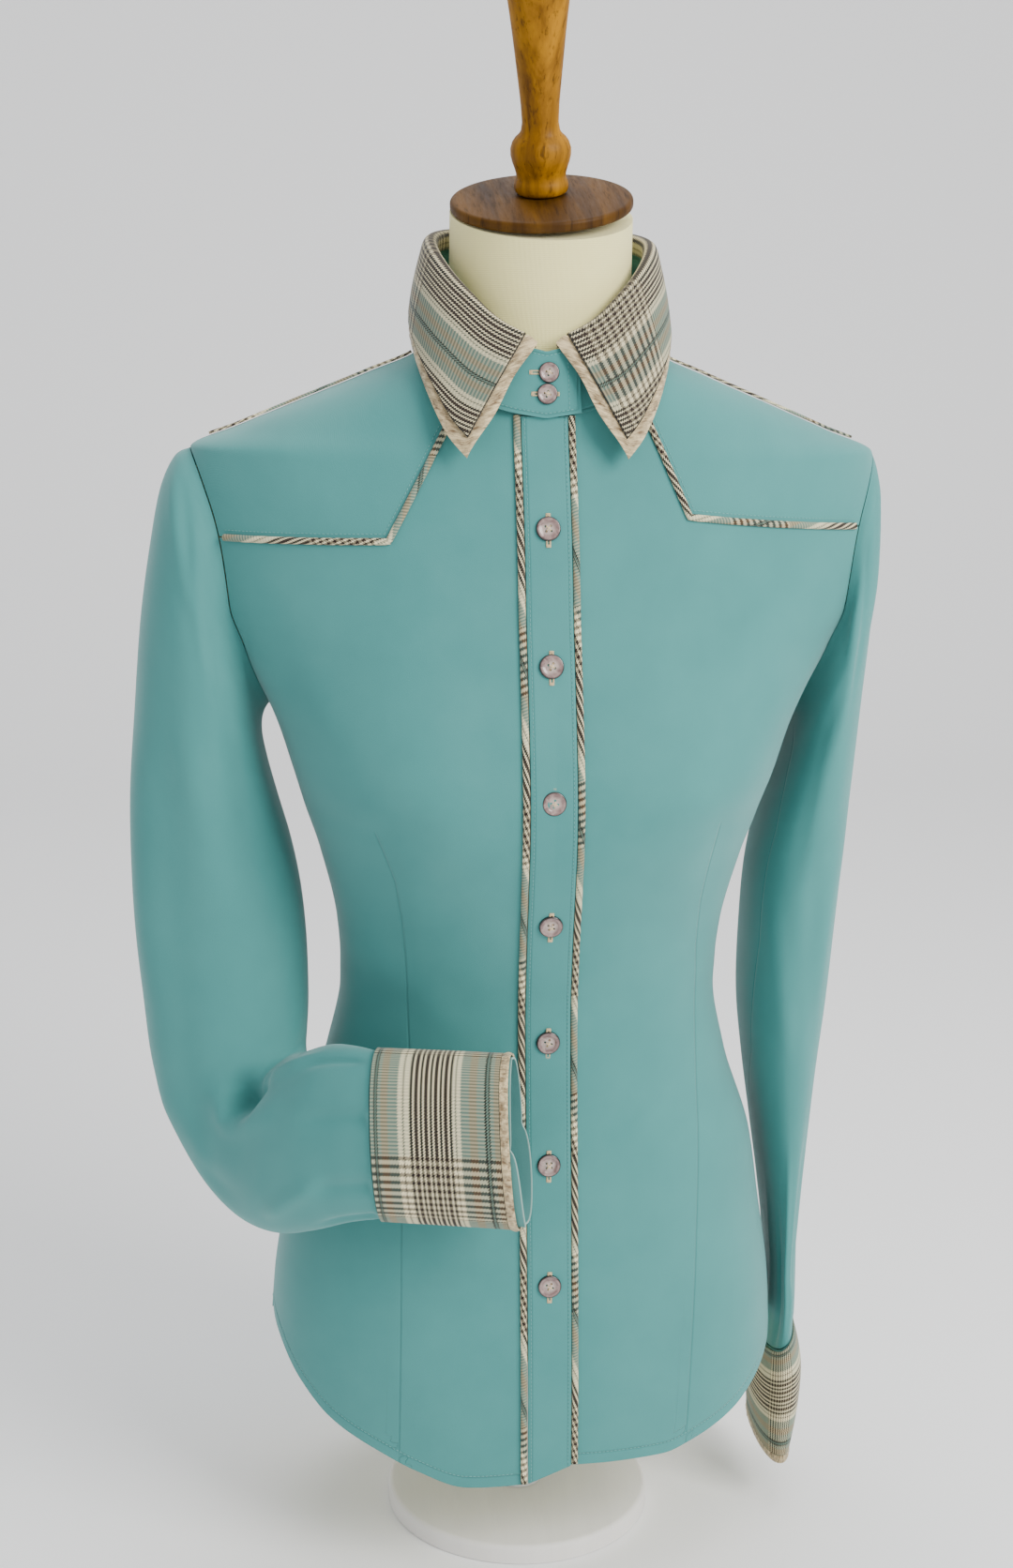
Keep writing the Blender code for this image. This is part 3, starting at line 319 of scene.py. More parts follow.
def give_look(shader, colour, bump=None):
    """Joins a colour, and a bump where the cloth has one, to a material's shader."""
    tree = shader.id_data
    tree.links.new(colour.socket, shader.inputs["Base Color"])
    if bump:
        tree.links.new(bump.socket, shader.inputs["Normal"])


jersey, tree, shader = new_material("cream_jersey_knit", (0.96, 0.92, 0.60), 0.9, Sheen_Weight=0.3)
place = place_in(tree)
apart = node(tree, "ShaderNodeSeparateXYZ", {0: place})
ribs = (apart * (2 * math.pi / RIB)).math("SINE")
rows = (apart.output(1) * (2 * math.pi / KNIT_ROW)).math("SINE")
knit = ribs + rows * 0.45
shade = noise(tree, place, 40.0, 3.0).blend((0.96, 0.88, 0.40, 1), (0.98, 0.92, 0.46, 1))
# The knit's troughs between ribs and rows are painted darker, as shade.
shade = knit.mapped(-1.4, 1.4).blend((0.84, 0.76, 0.32, 1), shade)
give_look(shader, shade, bumped(tree, knit, 0.35, 0.3 * MM))


def dress(piece, finish, slot, *replaced):
    """Gives a piece its material and its body, and hides the CAD nodes that it stands for. Its slot is not
    used.
    """
    piece.data.materials.append(finish)
    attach(piece, "root")
    if replaced:
        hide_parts(*replaced)
    return piece


def new_piece(name, mesh, *given):
    piece = bpy.data.objects.new(name, mesh)
    bpy.context.collection.objects.link(piece)
    return dress(piece, *given)


def pairs(first, second):
    """Two measures side by side, such as (around, z) or (u, v), over one grid."""
    return np.stack(np.broadcast_arrays(first, second), -1)


def grid_faces(rows, count, closed=False):
    spans = count if closed else count - 1
    row, here = np.meshgrid(np.arange(rows - 1), np.arange(spans), indexing="ij")
    there = (here + 1) % count
    return np.stack([
        row * count + here, row * count + there, (row + 1) * count + there, (row + 1) * count + here,
    ], -1).reshape(-1, 4)


def lay_uv(mesh, uv, corners):
    """Lays (u, v) in metres on a grid's face corners, so a weave or plaid keeps its real size."""
    layer = mesh.uv_layers.new(name="cloth_metres")
    layer.data.foreach_set("uv", uv.reshape(-1, 2)[corners].astype(np.float32).ravel())


angle = np.linspace(-2, 2, FORM_ROUND, endpoint=False)
rings = []
lean = math.tan(CAP_TILT)
for z in np.concatenate([np.linspace(TORSO_BOTTOM, 0.66, 60), np.linspace(0.664, 0.800, 40)]):
    ring = surface(angle, np.full(FORM_ROUND, z + FORM_DROP), inset=float(level(z)["slack"]))
    ring[:, 2] = z
    if z > LEAN_FROM:
        ring[:, 2] += (z - LEAN_FROM) / LEAN_OVER * lean * (ring[:, 1] - CAP_CENTRE[1])
    rings.append(ring)
top = rings[-1].copy()
top[:, 2] = NECK_TOP + lean * (top[:, 1] - CAP_CENTRE[1])
rings = np.stack(rings + [top])
faces = grid_faces(len(rings), FORM_ROUND, True)
ends = np.stack([np.arange(FORM_ROUND)[::-1], (len(rings) - 1) * FORM_ROUND + np.arange(FORM_ROUND)])
mesh = bpy.data.meshes.new("dress_form")
mesh.from_pydata(rings.reshape(-1, 3).tolist(), [], faces.tolist() + ends.tolist())
lay_uv(mesh, pairs(angle * 0.16, rings[..., 2]), np.concatenate([faces.ravel(), ends.ravel()]))
mesh.shade_smooth()
mesh.set_sharp_from_angle(angle=math.radians(50))
new_piece("dress_form", mesh, jersey, "cream_jersey", "form_torso")


# The neck cap: a thin turned walnut disc with a rounded rim, set aslant on the neck, and the turned wooden
# finial screwed into it. The photo cuts the finial off, so its top is finished with a plain round end.
def wood_grain(name, dark, light, roughness, grain_scale, turned, stretched, pores_depth=0.75):
    made, tree, shader = new_material(name, light, roughness, Specular_IOR_Level=0.14, Coat_Weight=0.03,
                                      Coat_Roughness=0.25)
    place = node(tree, "ShaderNodeMapping",
                 {"Vector": place_in(tree, "Object"), "Rotation": turned, "Scale": stretched})
    wander = noise(tree, place, grain_scale, 6.0, Roughness=0.62, Distortion=0.35)
    streaks = noise(tree, place, grain_scale * 5, 3.0, Roughness=0.7)
    colour = wander.mapped(0.34, 0.66).blend((*dark, 1), (*light, 1))
    pores = streaks.mapped(0.56, 0.70, 0.0, pores_depth)
    colour = pores.blend(colour, tuple(c * 0.42 for c in dark) + (1,))
    rough = streaks.mapped(0.3, 0.7, roughness - 0.05, roughness + 0.12)
    tree.links.new(rough.socket, shader.inputs["Roughness"])
    give_look(shader, colour, bumped(tree, streaks, 0.12, 0.4 * MM))
    return made


walnut = wood_grain("dark_walnut_cap", (0.028, 0.0095, 0.0003), (0.110, 0.046, 0.002), 0.50, 9.0,
                    (0.3, 0, 0.5), (9, 1, 1))
golden = wood_grain("golden_turned_wood", (0.100, 0.036, 0.0003), (0.370, 0.160, 0.0010), 0.50, 9.0,
                    (0, 0, 0), (9, 9, 1))


def make_active(piece):
    bpy.ops.object.select_all(action="DESELECT")
    piece.select_set(True)
    bpy.context.view_layer.objects.active = piece


def apply_place(piece):
    make_active(piece)
    bpy.ops.object.transform_apply(location=True, rotation=True, scale=True)


def seat_on_neck(piece, above):
    """Turns a piece that stands on the origin into its place on the neck's tilted top."""
    piece.rotation_euler = Euler((CAP_TILT, CAP_SIDE_TILT, 0))
    piece.location = Vector(CAP_CENTRE) + Vector((
        above * math.sin(CAP_SIDE_TILT), -above * math.sin(CAP_TILT), above * math.cos(CAP_TILT),
    ))
    apply_place(piece)


def choose(piece, parts, test):
    """Selects a piece's edges or polygons that pass a test, and leaves it in edit mode."""
    bpy.ops.object.mode_set(mode="EDIT")
    if parts == "edges":
        bpy.ops.mesh.select_mode(type="EDGE")
    bpy.ops.mesh.select_all(action="DESELECT")
    bpy.ops.object.mode_set(mode="OBJECT")
    for part in getattr(piece.data, parts):
        part.select = test(part)
    bpy.ops.object.mode_set(mode="EDIT")


def turn_faces_out():
    bpy.ops.object.mode_set(mode="EDIT")
    bpy.ops.mesh.select_all(action="SELECT")
    bpy.ops.mesh.normals_make_consistent(inside=False)
    bpy.ops.object.mode_set(mode="OBJECT")


def heights(piece, part):
    """The heights of the points of an edge or polygon."""
    return [piece.data.vertices[i].co.z for i in part.vertices]


def add_disc(name, radius, low, high, sides=128):
    bpy.ops.object.select_all(action="DESELECT")
    bpy.ops.mesh.primitive_cylinder_add(vertices=sides, radius=radius, depth=high - low,
                                        location=(0, 0, (low + high) / 2))
    bpy.context.object.name = name
    apply_place(bpy.context.object)
    return bpy.context.object


CAP_RADIUS = 53 * MM
CAP_THICK = 6.6 * MM
cap = add_disc("walnut_neck_cap", CAP_RADIUS, 0.0, CAP_THICK)
choose(cap, "edges", lambda edge: np.ptp(heights(cap, edge)) < 1e-6)
bpy.ops.mesh.bevel(offset=2.4 * MM, segments=5, affect="EDGES")
bpy.ops.object.mode_set(mode="OBJECT")
choose(cap, "polygons", lambda face: face.normal.z > 0.99)
for share, rise in ((0.08, 0.4), (0.20, 0.9), (0.35, 0.8)):
    bpy.ops.mesh.inset(thickness=CAP_RADIUS * share)
    bpy.ops.transform.translate(value=(0, 0, rise * MM))
bpy.ops.object.mode_set(mode="OBJECT")
cap.data.shade_smooth()
seat_on_neck(cap, 0.0)
dress(cap, walnut, "dark_walnut", "neck_cap")

FINIAL_ABOVE_CAP = 9.3 * MM
Turning = namedtuple("Turning", "height radius")
FINIAL = table(
    Turning, (0, 0.0135), (0.0012, 0.015), (0.003, 0.0156), (0.0055, 0.0156), (0.0075, 0.015),
    (0.009, 0.0143), (0.0115, 0.0144), (0.015, 0.0154), (0.0185, 0.0166), (0.022, 0.0174), (0.0255, 0.0174),
    (0.029, 0.0163), (0.0315, 0.0146), (0.0335, 0.0124), (0.0355, 0.0112), (0.04, 0.0105), (0.05, 0.011),
    (0.062, 0.0122), (0.076, 0.0137), (0.09, 0.0152), (0.102, 0.0167), (0.112, 0.0181), (0.119, 0.0189),
    (0.125, 0.0191), (0.13, 0.0186), (0.135, 0.0172), (0.139, 0.0149), (0.142, 0.0116), (0.1438, 0.0075),
    (0.1445, 0.003),
)
bpy.ops.object.select_all(action="DESELECT")
bpy.ops.mesh.primitive_circle_add(vertices=64, radius=FINIAL[0].radius, fill_type="NGON")
finial = bpy.context.object
finial.name = "turned_finial"
bpy.ops.object.mode_set(mode="EDIT")
for before, after in zip(FINIAL, FINIAL[1:]):
    bpy.ops.mesh.extrude_region_move(TRANSFORM_OT_translate={"value": (0, 0, after.height - before.height)})
    width = after.radius / before.radius
    bpy.ops.transform.resize(value=(width, width, 1))
bpy.ops.object.mode_set(mode="OBJECT")
turn_faces_out()
finial.data.shade_smooth()
finial.data.set_sharp_from_angle(angle=math.radians(60))
seat_on_neck(finial, FINIAL_ABOVE_CAP)
dress(finial, golden, "golden_wood", "finial")


# The stand: a pale lacquered post into the torso's underside, and a round foot that it is screwed to.
STEM_RADIUS = 16 * MM
STEM_GAP = 0.4 * MM
FOOT_RADIUS = 85 * MM
FOOT_THICK = 12 * MM
lacquer = wood_grain("pale_lacquered_wood", (0.78, 0.76, 0.72), (0.82, 0.80, 0.76), 0.45, 5.0,
                     (0, 0, 0), (9, 1, 1), pores_depth=0.04)
for name, radius, low, high, edge_round, replaced in (
    ("stand_foot", FOOT_RADIUS, 0.0, FOOT_THICK, 3.5 * MM, "foot"),
    ("stand_stem", STEM_RADIUS, FOOT_THICK + STEM_GAP, TORSO_BOTTOM - STEM_GAP, 0.8 * MM, "stem"),
):
    part = add_disc(name, radius, low, high)
    choose(part, "edges", lambda edge: min(heights(part, edge)) > high - 1e-5)
    bpy.ops.mesh.bevel(offset=edge_round, segments=5, affect="EDGES")
    bpy.ops.object.mode_set(mode="OBJECT")
    part.data.shade_smooth()
    part.data.set_sharp_from_angle(angle=math.radians(40))
    dress(part, lacquer, "pale_lacquer", replaced)


# The shirt's cloth: a smooth teal crepe with a little stretch. Its fine pebbled weave is worked from each
# piece's own UV map, laid in metres of cloth, and its seam grooves from the piece's to_seam attribute: a
# signed distance in metres, which is zero on the seam.
def from_screen(red, green, blue):
    """A colour read on a screen, 0 to 255, as the light values that shaders use."""
    shares = np.array([red, green, blue]) / 255
    light = np.where(shares <= 0.04045, shares / 12.92, ((shares + 0.055) / 1.055) ** 2.4)
    return (*light.tolist(), 1)


def new_group(name, takes, gives):
    """A shared node group and the values that it takes."""
    group = bpy.data.node_groups.new(name, "ShaderNodeTree")
    for way, sockets in (("INPUT", takes), ("OUTPUT", gives)):
        for label, kind in sockets.items():
            group.interface.new_socket(name=label, in_out=way, socket_type="NodeSocket" + kind)
    return group, *map(Value, group.nodes.new("NodeGroupInput").outputs[:len(takes)])


def give_out(group, **results):
    end = group.nodes.new("NodeGroupOutput")
    for name, value in results.items():
        group.links.new(value.socket, end.inputs[name])


fine_weave, place, fineness, pebble = new_group(
    "fine_weave", {"Place": "Vector", "Threads per metre": "Float", "Pebble": "Float"},
    {"Height": "Float", "Shade": "Float"},
)
apart = node(fine_weave, "ShaderNodeSeparateXYZ", {0: place})
warp, weft = ((apart.output(way) * fineness * (2 * math.pi)).math("SINE") for way in "XY")
height = warp * weft * 0.3 + noise(fine_weave, place, 1500.0, 2.0) * pebble
clouds = noise(fine_weave, place, 22.0, 3.0, Roughness=0.55).mapped(0.25, 0.75)
# The shade is half random clouds of tone and half the weave's height: painted lighter on the raised threads
# and darker between them, as shade.
give_out(fine_weave, Height=height, Shade=clouds * 0.5 + height.mapped(-0.1, 1.1) * 0.5)


def crepe_weave(tree):
    """The fine weave's shade. Its height is the same node's other output."""
    given = {"Place": place_in(tree), "Threads per metre": 1700.0, "Pebble": 0.9}
    return node(tree, "ShaderNodeGroup", given, "Shade", node_tree=fine_weave)


SEAM_GROOVE = 0.6 * MM
DARK_TEAL, LIGHT_TEAL = from_screen(62, 130, 128), from_screen(76, 146, 143)
teal, tree, shader = new_material(
    "teal_crepe_cloth", LIGHT_TEAL, 0.72, Sheen_Weight=0.35, Sheen_Roughness=0.45,
    Sheen_Tint=(0.75, 0.95, 0.95, 1), Specular_IOR_Level=0.25,
)
weave = crepe_weave(tree)
off = attribute(tree, "to_seam") / SEAM_GROOVE
groove = (off * off * -1.0).math("EXPONENT") * attribute(tree, "seam_near")
colour = weave.blend(DARK_TEAL, LIGHT_TEAL)
# Seam grooves are bumped in and also painted darker, as shade in the groove.
colour = (groove * 0.30).blend(colour, tuple(c * 0.45 for c in DARK_TEAL[:3]) + (1,))
fine = bumped(tree, weave.output("Height"), 0.30, 0.3 * MM)
give_look(shader, colour, bumped(tree, groove * -1.0, 0.5, 0.8 * MM, Normal=fine))

CLOTH = 1.2 * MM
LAY = 0.4 * MM  # a piece lies this far off the piece under it
SEAM_HALF_GAP = 0.20 * MM
Seam = namedtuple("Seam", "around z")
NECK_SEAM = table(
    Seam, (0, 0.712), (0.2, 0.716), (0.38, 0.725), (0.55, 0.735), (0.75, 0.743), (1, 0.749), (1.5, 0.758),
    (2, 0.764),
)
STAND_TOP = table(
    Seam, (0, 0.747), (0.25, 0.754), (0.55, 0.773), (0.8, 0.789), (1, 0.797), (1.5, 0.803), (2, 0.804),
)
HEM_RIGHT = table(
    Seam, (0, 0.073), (0.25, 0.07), (0.4, 0.079), (0.5, 0.088), (0.65, 0.103), (0.75, 0.119), (0.87, 0.138),
    (1, 0.148),
)
HEM_LEFT = table(
    Seam, (0, 0.084), (0.25, 0.083), (0.42, 0.083), (0.5, 0.087), (0.65, 0.098), (0.75, 0.11),
    (0.87, 0.124), (1, 0.132),
)
HEM_BACK = table(
    Seam, (1, 0.14), (1.15, 0.127), (1.35, 0.103), (1.6, 0.084), (1.8, 0.077), (2, 0.075),
)
Yoke = namedtuple("Yoke", "corner_x corner_z end_z")
YOKE_RIGHT = Yoke(0.092, 0.643, 0.640)
YOKE_LEFT = Yoke(0.078, 0.657, 0.647)
YOKE_NECK_AROUND = 0.41
BACK_YOKE_END_Z = 0.640
BACK_YOKE_POINT_Z = 0.585
ARMHOLE = dict(y=0.004, z=0.6115, tall=0.0765, front=0.045, back=0.052)
FIRST_BUTTON_Z = 0.651
OPENING_TOP_X = -3.6 * MM
OPENING_SLANT = 0.0167
FRONT_OVERLAP_EDGE = 13.4 * MM
PLACKET_TOP = 0.7115
FRONT_YOKE_GAP = 0.4 * MM
BACK_YOKE_GAP = SHOULDER_GAP = 0.3 * MM
WIDTH_ROUND_BODY = 1.15  # metres of cloth round the body to a metre seen from in front


def seam_z(seam, around):
    return eased(np.abs(around), column(seam, "around"), column(seam, "z"))


def on_seam(seam, around):
    return pairs(around, seam_z(seam, around))


def opening_x(z):
    return OPENING_TOP_X + (FIRST_BUTTON_Z - z) * OPENING_SLANT


def beside_side_seam(z, gap):
    return gap / level(z)["half"] / (math.pi / 2)


def armhole(turn):
    """turn: 0 at the shoulder, 0.25 front, 0.5 underarm, 0.75 back."""
    turn = np.asarray(turn, float)
    swing = np.sin(2 * math.pi * turn)
    depth = np.where(swing > 0, ARMHOLE["front"], ARMHOLE["back"])
    z = ARMHOLE["z"] + ARMHOLE["tall"] * np.cos(2 * math.pi * turn)
    y = ARMHOLE["y"] - depth * swing
    return pairs(around_at_y(y, z), z)


def armhole_turn(z, front):
    turn = math.acos((z - ARMHOLE["z"]) / ARMHOLE["tall"]) / (2 * math.pi)
    return turn if front else 1 - turn


def line(start, end, count):
    t = np.linspace(0, 1, count)[:, None]
    return np.asarray(start) * (1 - t) + np.asarray(end) * t


def joined(*lines):
    return np.concatenate([lines[0]] + [piece[1:] for piece in lines[1:]])


def run_length(points):
    return np.concatenate([[0], np.cumsum(np.linalg.norm(np.diff(points, axis=0), axis=1))])


def read_off(wanted, far, values):
    """The values at wanted distances along a line, where far is the distance of each of its points."""
    return np.stack([np.interp(wanted, far, each) for each in values.T], -1)


def spread(points, count):
    """The same line, with count points evenly spaced along it on the body."""
    far = run_length(surface(points[:, 0], points[:, 1]))
    return read_off(np.linspace(0, far[-1], count), far, points)


def patch(low, high, left, right):
    """A grid of (around, z) filled in between four edge lines that meet at their ends."""
    across = np.linspace(0, 1, len(low))[None, :, None]
    up = np.linspace(0, 1, len(left))[:, None, None]
    between_sides = left[:, None] * (1 - across) + right[:, None] * across
    between_ends = low[None] * (1 - up) + high[None] * up
    corners = (
        (low[0] * (1 - across) + low[-1] * across) * (1 - up)
        + (high[0] * (1 - across) + high[-1] * across) * up
    )
    return between_sides + between_ends - corners


def side_edge(hem_z, side_rows, end_turn, arm_rows):
    """A body piece's edge, from the hem up the side seam and on along the armhole."""
    return joined(line((1, hem_z), armhole(0.5), side_rows), armhole(np.linspace(0.5, end_turn, arm_rows)))


def yoke_line(yoke, neck_count, arm_count):
    """Front yoke seam in two stretches: from the neck to its corner, and on to the armhole."""
    neck_z = float(seam_z(NECK_SEAM, YOKE_NECK_AROUND))
    corner = (float(around_at_x(yoke.corner_x, yoke.corner_z)), yoke.corner_z)
    end = armhole(armhole_turn(yoke.end_z, True))
    z = np.linspace(neck_z, yoke.corner_z, 20)
    x = np.linspace(surface(YOKE_NECK_AROUND, neck_z)[0], yoke.corner_x, 20)
    slope = pairs(around_at_x(x, z), z)
    return joined(spread(slope, neck_count), spread(line(corner, end, 20), arm_count))


def back_yoke_line(count):
    end = armhole(armhole_turn(BACK_YOKE_END_Z, False))
    around = np.linspace(end[0], 2, count)
    t = (around - end[0]) / (2 - end[0])
    z = BACK_YOKE_END_Z + (BACK_YOKE_POINT_Z - BACK_YOKE_END_Z) * t**1.5
    return pairs(around, z)


def there_and_back(half):
    """A grid and, after its last column, the columns before that in the other order."""
    return np.concatenate([half, half[:, -2::-1]], 1)


def mirrored(half):
    """A +X half grid that ends at centre back, carried on round to -X."""
    around, z = np.moveaxis(there_and_back(half), -1, 0)
    around[:, half.shape[1]:] = 4 - around[:, half.shape[1]:]
    return around, z


# Folds and hollows are listed one by one: each is a straight stretch on a piece's own flat measure, with its
# width, and how far it rises (or sinks, below zero) in the middle.
Fold = namedtuple("Fold", "u1 v1 u2 v2 width rise")


def fold_rise(u, v, folds):
    total = np.zeros(np.broadcast(u, v).shape)
    for fold in folds:
        run = np.array([fold.u2 - fold.u1, fold.v2 - fold.v1])
        length = np.hypot(*run)
        run = run / length
        along = ((u - fold.u1) * run[0] + (v - fold.v1) * run[1]) / length
        off = (v - fold.v1) * run[0] - (u - fold.u1) * run[1]
        ends = eased_share(np.minimum(along, 1 - along) / 0.35 + 0.15)
        total += fold.rise * ends * np.exp(-((off / fold.width) ** 2))
    return total


def to_line(u, v, points):
    """Signed distance from places (u, v) to a line of points, with how near each is: 1 beside the line,
    0 past its ends and far to its sides."""
    best, near = np.full(u.shape, 1.0), np.zeros(u.shape)
    for (u1, v1), (u2, v2) in zip(points, points[1:]):
        run = np.array([u2 - u1, v2 - v1])
        length = np.hypot(*run)
        along = ((u - u1) * run[0] + (v - v1) * run[1]) / length**2
        off = ((v - v1) * run[0] - (u - u1) * run[1]) / length
        beyond = np.maximum(np.maximum(-along, along - 1) * length, 0)
        beside_it = np.clip(1 - beyond / 0.005, 0, 1) * (np.abs(off) < 0.008)
        better = beside_it > near + 1e-6
        better |= (beside_it > 0) & (beside_it >= near - 1e-6) & (np.abs(off) < np.abs(best))
        best, near = np.where(better, off, best), np.where(better, beside_it, near)
    return best, near


def nearest_seam(*seams):
    """The one of several (distance, nearness) pairs that lies nearest at each place."""
    best, near = seams[0]
    for off, beside_it in seams[1:]:
        better = (beside_it > near) | ((beside_it == near) & (np.abs(off) < np.abs(best)))
        best, near = np.where(better, off, best), np.where(better, beside_it, near)
    return best, near


def add_measure(mesh, label, values):
    """Gives every point of a mesh a number that its material reads."""
    mesh.attributes.new(label, "FLOAT", "POINT").data.foreach_set("value", values.astype(np.float32))


def metres_of(grid):
    """How far along its rows and columns each point of a cloth grid lies, in metres."""
    across = np.linalg.norm(np.diff(grid, axis=1), axis=2)
    up = np.linalg.norm(np.diff(grid, axis=0), axis=2)
    u = np.concatenate([np.zeros((len(grid), 1)), np.cumsum(across, axis=1)], 1)
    v = np.concatenate([np.zeros((1, grid.shape[1])), np.cumsum(up, axis=0)], 0)
    return pairs(u, v)


def cut_cloth(name, grid, finish, slot,
              uv=None, to_seam=None, thick=1.0 * MM, turned=False, closed=False, ending="_cloth"):
    """One cut piece of cloth: a wall under a grid of outer points, with its UV map in metres. A closed
    tube's last column repeats its first, so that the map has a seam, and is then welded."""
    rows, count = grid.shape[:2]
    faces = grid_faces(rows, count)
    if turned:
        faces = faces[:, ::-1]
    mesh = bpy.data.meshes.new(name + ending)
    mesh.from_pydata(grid.reshape(-1, 3).tolist(), [], faces.tolist())
    lay_uv(mesh, metres_of(grid) if uv is None else uv, faces)
    away, near = to_seam or (1.0, 0.0)
    for label, values in (("to_seam", away), ("seam_near", near)):
        add_measure(mesh, label, np.broadcast_to(values, (rows, count)).ravel())
    piece = new_piece(name + ending, mesh, finish, slot, name)
    make_active(piece)
    if closed:
        weld = piece.modifiers.new("Weld", "WELD")
        weld.merge_threshold = 0.02 * MM
        bpy.ops.object.modifier_apply(modifier="Weld")
    mesh.shade_smooth()
    wall = piece.modifiers.new("Wall", "SOLIDIFY")
    wall.thickness = thick
    wall.offset = -1
    bpy.ops.object.modifier_apply(modifier="Wall")
    mesh.set_sharp_from_angle(angle=math.radians(60))


# The two fronts: smooth over the bust and waist, with a long dart each from bust to hem and a narrow
# stitched hem. The left one runs on under the placket.
DART_RIGHT = [(-0.0996, 0.4760), (-0.0887, 0.4473), (-0.0839, 0.4201), (-0.0800, 0.3806), (-0.0788, 0.3413),
              (-0.0812, 0.2954), (-0.0837, 0.2391), (-0.0851, 0.0700)]
DART_LEFT = [(0.0991, 0.4800), (0.0941, 0.4299), (0.0955, 0.3716), (0.0972, 0.2871), (0.0960, 0.2014),
             (0.0920, 0.0700)]
FRONT_ROWS = 190
SIDE_ROWS = 146
EVENING_PASSES = 20
HEM_TURN = 7 * MM
FRONT_FOLDS = {
    -1: table(
        Fold, (-0.1, 0.5, -0.08, 0.36, 0.01, -0.001), (-0.15, 0.555, -0.1, 0.52, 0.014, 0.0012),
        (-0.108, 0.38, -0.15, 0.33, 0.01, 0.0008), (-0.04, 0.35, -0.11, 0.4, 0.012, 0.0008),
        (-0.165, 0.62, -0.13, 0.5, 0.012, -0.0012),
    ),
    1: table(
        Fold, (0.1, 0.5, 0.094, 0.36, 0.01, -0.001), (0.15, 0.56, 0.11, 0.5, 0.014, 0.0012),
        (0.112, 0.385, 0.15, 0.33, 0.009, 0.001), (0.04, 0.345, 0.105, 0.39, 0.012, 0.0008),
        (0.165, 0.62, 0.135, 0.51, 0.012, -0.0012),
    ),
}


def front_rows(hem, rows):
    return np.linspace(float(seam_z(hem, 0.1)), float(seam_z(NECK_SEAM, 0.12)), rows)


def hem_distance(points, low, fold):
    """Signed distance to the hem's stitched turn, for the seam groove."""
    off = points[..., 2] - low[None, :, 2] - fold
    return off, (np.abs(off) < 0.008).astype(float)


for side, hem, yoke, name, dart, area in (
    (-1, HEM_RIGHT, YOKE_RIGHT, "front_right", DART_RIGHT, 0.108),
    (1, HEM_LEFT, YOKE_LEFT, "front_left", DART_LEFT, 0.125),
):
    z = front_rows(hem, FRONT_ROWS)
    x = opening_x(z) - FRONT_OVERLAP_EDGE + (0.0 if side < 0 else 2 * SEAM_HALF_GAP)
    edge = pairs(around_at_x(x, z) * side, z)
    low = on_seam(hem, np.linspace(edge[0, 0], 1, 60))
    neck = on_seam(NECK_SEAM, np.linspace(edge[-1, 0], YOKE_NECK_AROUND, 24))
    neck[0] = edge[-1]
    neck_count = 19 if side > 0 else 14
    high = joined(spread(neck, neck_count), yoke_line(yoke, 24, 30))
    low = spread(low, len(high))
    right = side_edge(low[-1, 1], SIDE_ROWS, armhole_turn(yoke.end_z, True), FRONT_ROWS - SIDE_ROWS + 1)
    grid = patch(low, high, edge, right)
    for _ in range(EVENING_PASSES):  # or else the grid folds over itself beside the yoke's corner
        grid[1:-1, 1:-1] = (grid[:-2, 1:-1] + grid[2:, 1:-1] + grid[1:-1, :-2] + grid[1:-1, 2:]) / 4
    around, z = grid[..., 0], grid[..., 1]
    z[-1, neck_count - 1:] -= FRONT_YOKE_GAP
    around[:SIDE_ROWS, -1] -= beside_side_seam(z[:SIDE_ROWS, -1], SEAM_HALF_GAP)
    flat_points = on_shirt(around * side, z)
    rise = fold_rise(flat_points[..., 0], z, FRONT_FOLDS[side])
    points = on_shirt(around * side, z, rise)
    seams = nearest_seam(hem_distance(points, points[0], HEM_TURN), to_line(flat_points[..., 0], z, dart))
    uv = pairs(flat_points[..., 0] * WIDTH_ROUND_BODY, z)
    cut_cloth(name, points, teal, "teal_crepe",
              uv=uv, to_seam=seams, turned=side < 0)


# The front yokes: a flat piece over each shoulder, coming to a corner on the chest.
for side, yoke, name in ((-1, YOKE_RIGHT, "yoke_front_right"), (1, YOKE_LEFT, "yoke_front_left")):
    low = yoke_line(yoke, 24, 30)
    shoulder = line((1, float(seam_z(NECK_SEAM, 1.0))), armhole(0.0), len(low))
    left = on_seam(NECK_SEAM, np.linspace(YOKE_NECK_AROUND, 1, 40))
    right = armhole(np.linspace(armhole_turn(yoke.end_z, True), 0, 40))
    grid = patch(low, shoulder, left, right)
    around, z = grid[..., 0], grid[..., 1]
    z[0] += FRONT_YOKE_GAP
    around[-1] -= beside_side_seam(z[-1], SHOULDER_GAP)
    points = on_shirt(around * side, z)
    uv = pairs(points[..., 0], points[..., 2] - points[..., 1])
    cut_cloth(name, points, teal, "teal_crepe",
              uv=uv, turned=side < 0)


# The back and its pointed yoke, each in one piece across the centre, with two long waist darts.
BACK_DARTS = [[(side * 0.072, 0.500), (side * 0.064, 0.366), (side * 0.076, 0.215)] for side in (-1, 1)]
BACK_FOLDS = table(
    Fold, (-0.105, 0.395, -0.04, 0.36, 0.009, 0.0012), (0.11, 0.405, 0.045, 0.372, 0.01, 0.0012),
    (-0.1, 0.345, -0.035, 0.33, 0.008, -0.0009), (0.095, 0.335, 0.03, 0.345, 0.008, -0.0009),
    (-0.15, 0.59, -0.11, 0.48, 0.012, 0.0015), (0.155, 0.585, 0.115, 0.49, 0.012, 0.0015),
    (-0.055, 0.43, -0.015, 0.4, 0.01, 0.0008), (0.06, 0.42, 0.012, 0.385, 0.009, 0.0009),
)
HALF_BACK, BACK_SIDE_ROWS, ARMHOLE_ROWS = 52, 125, 22
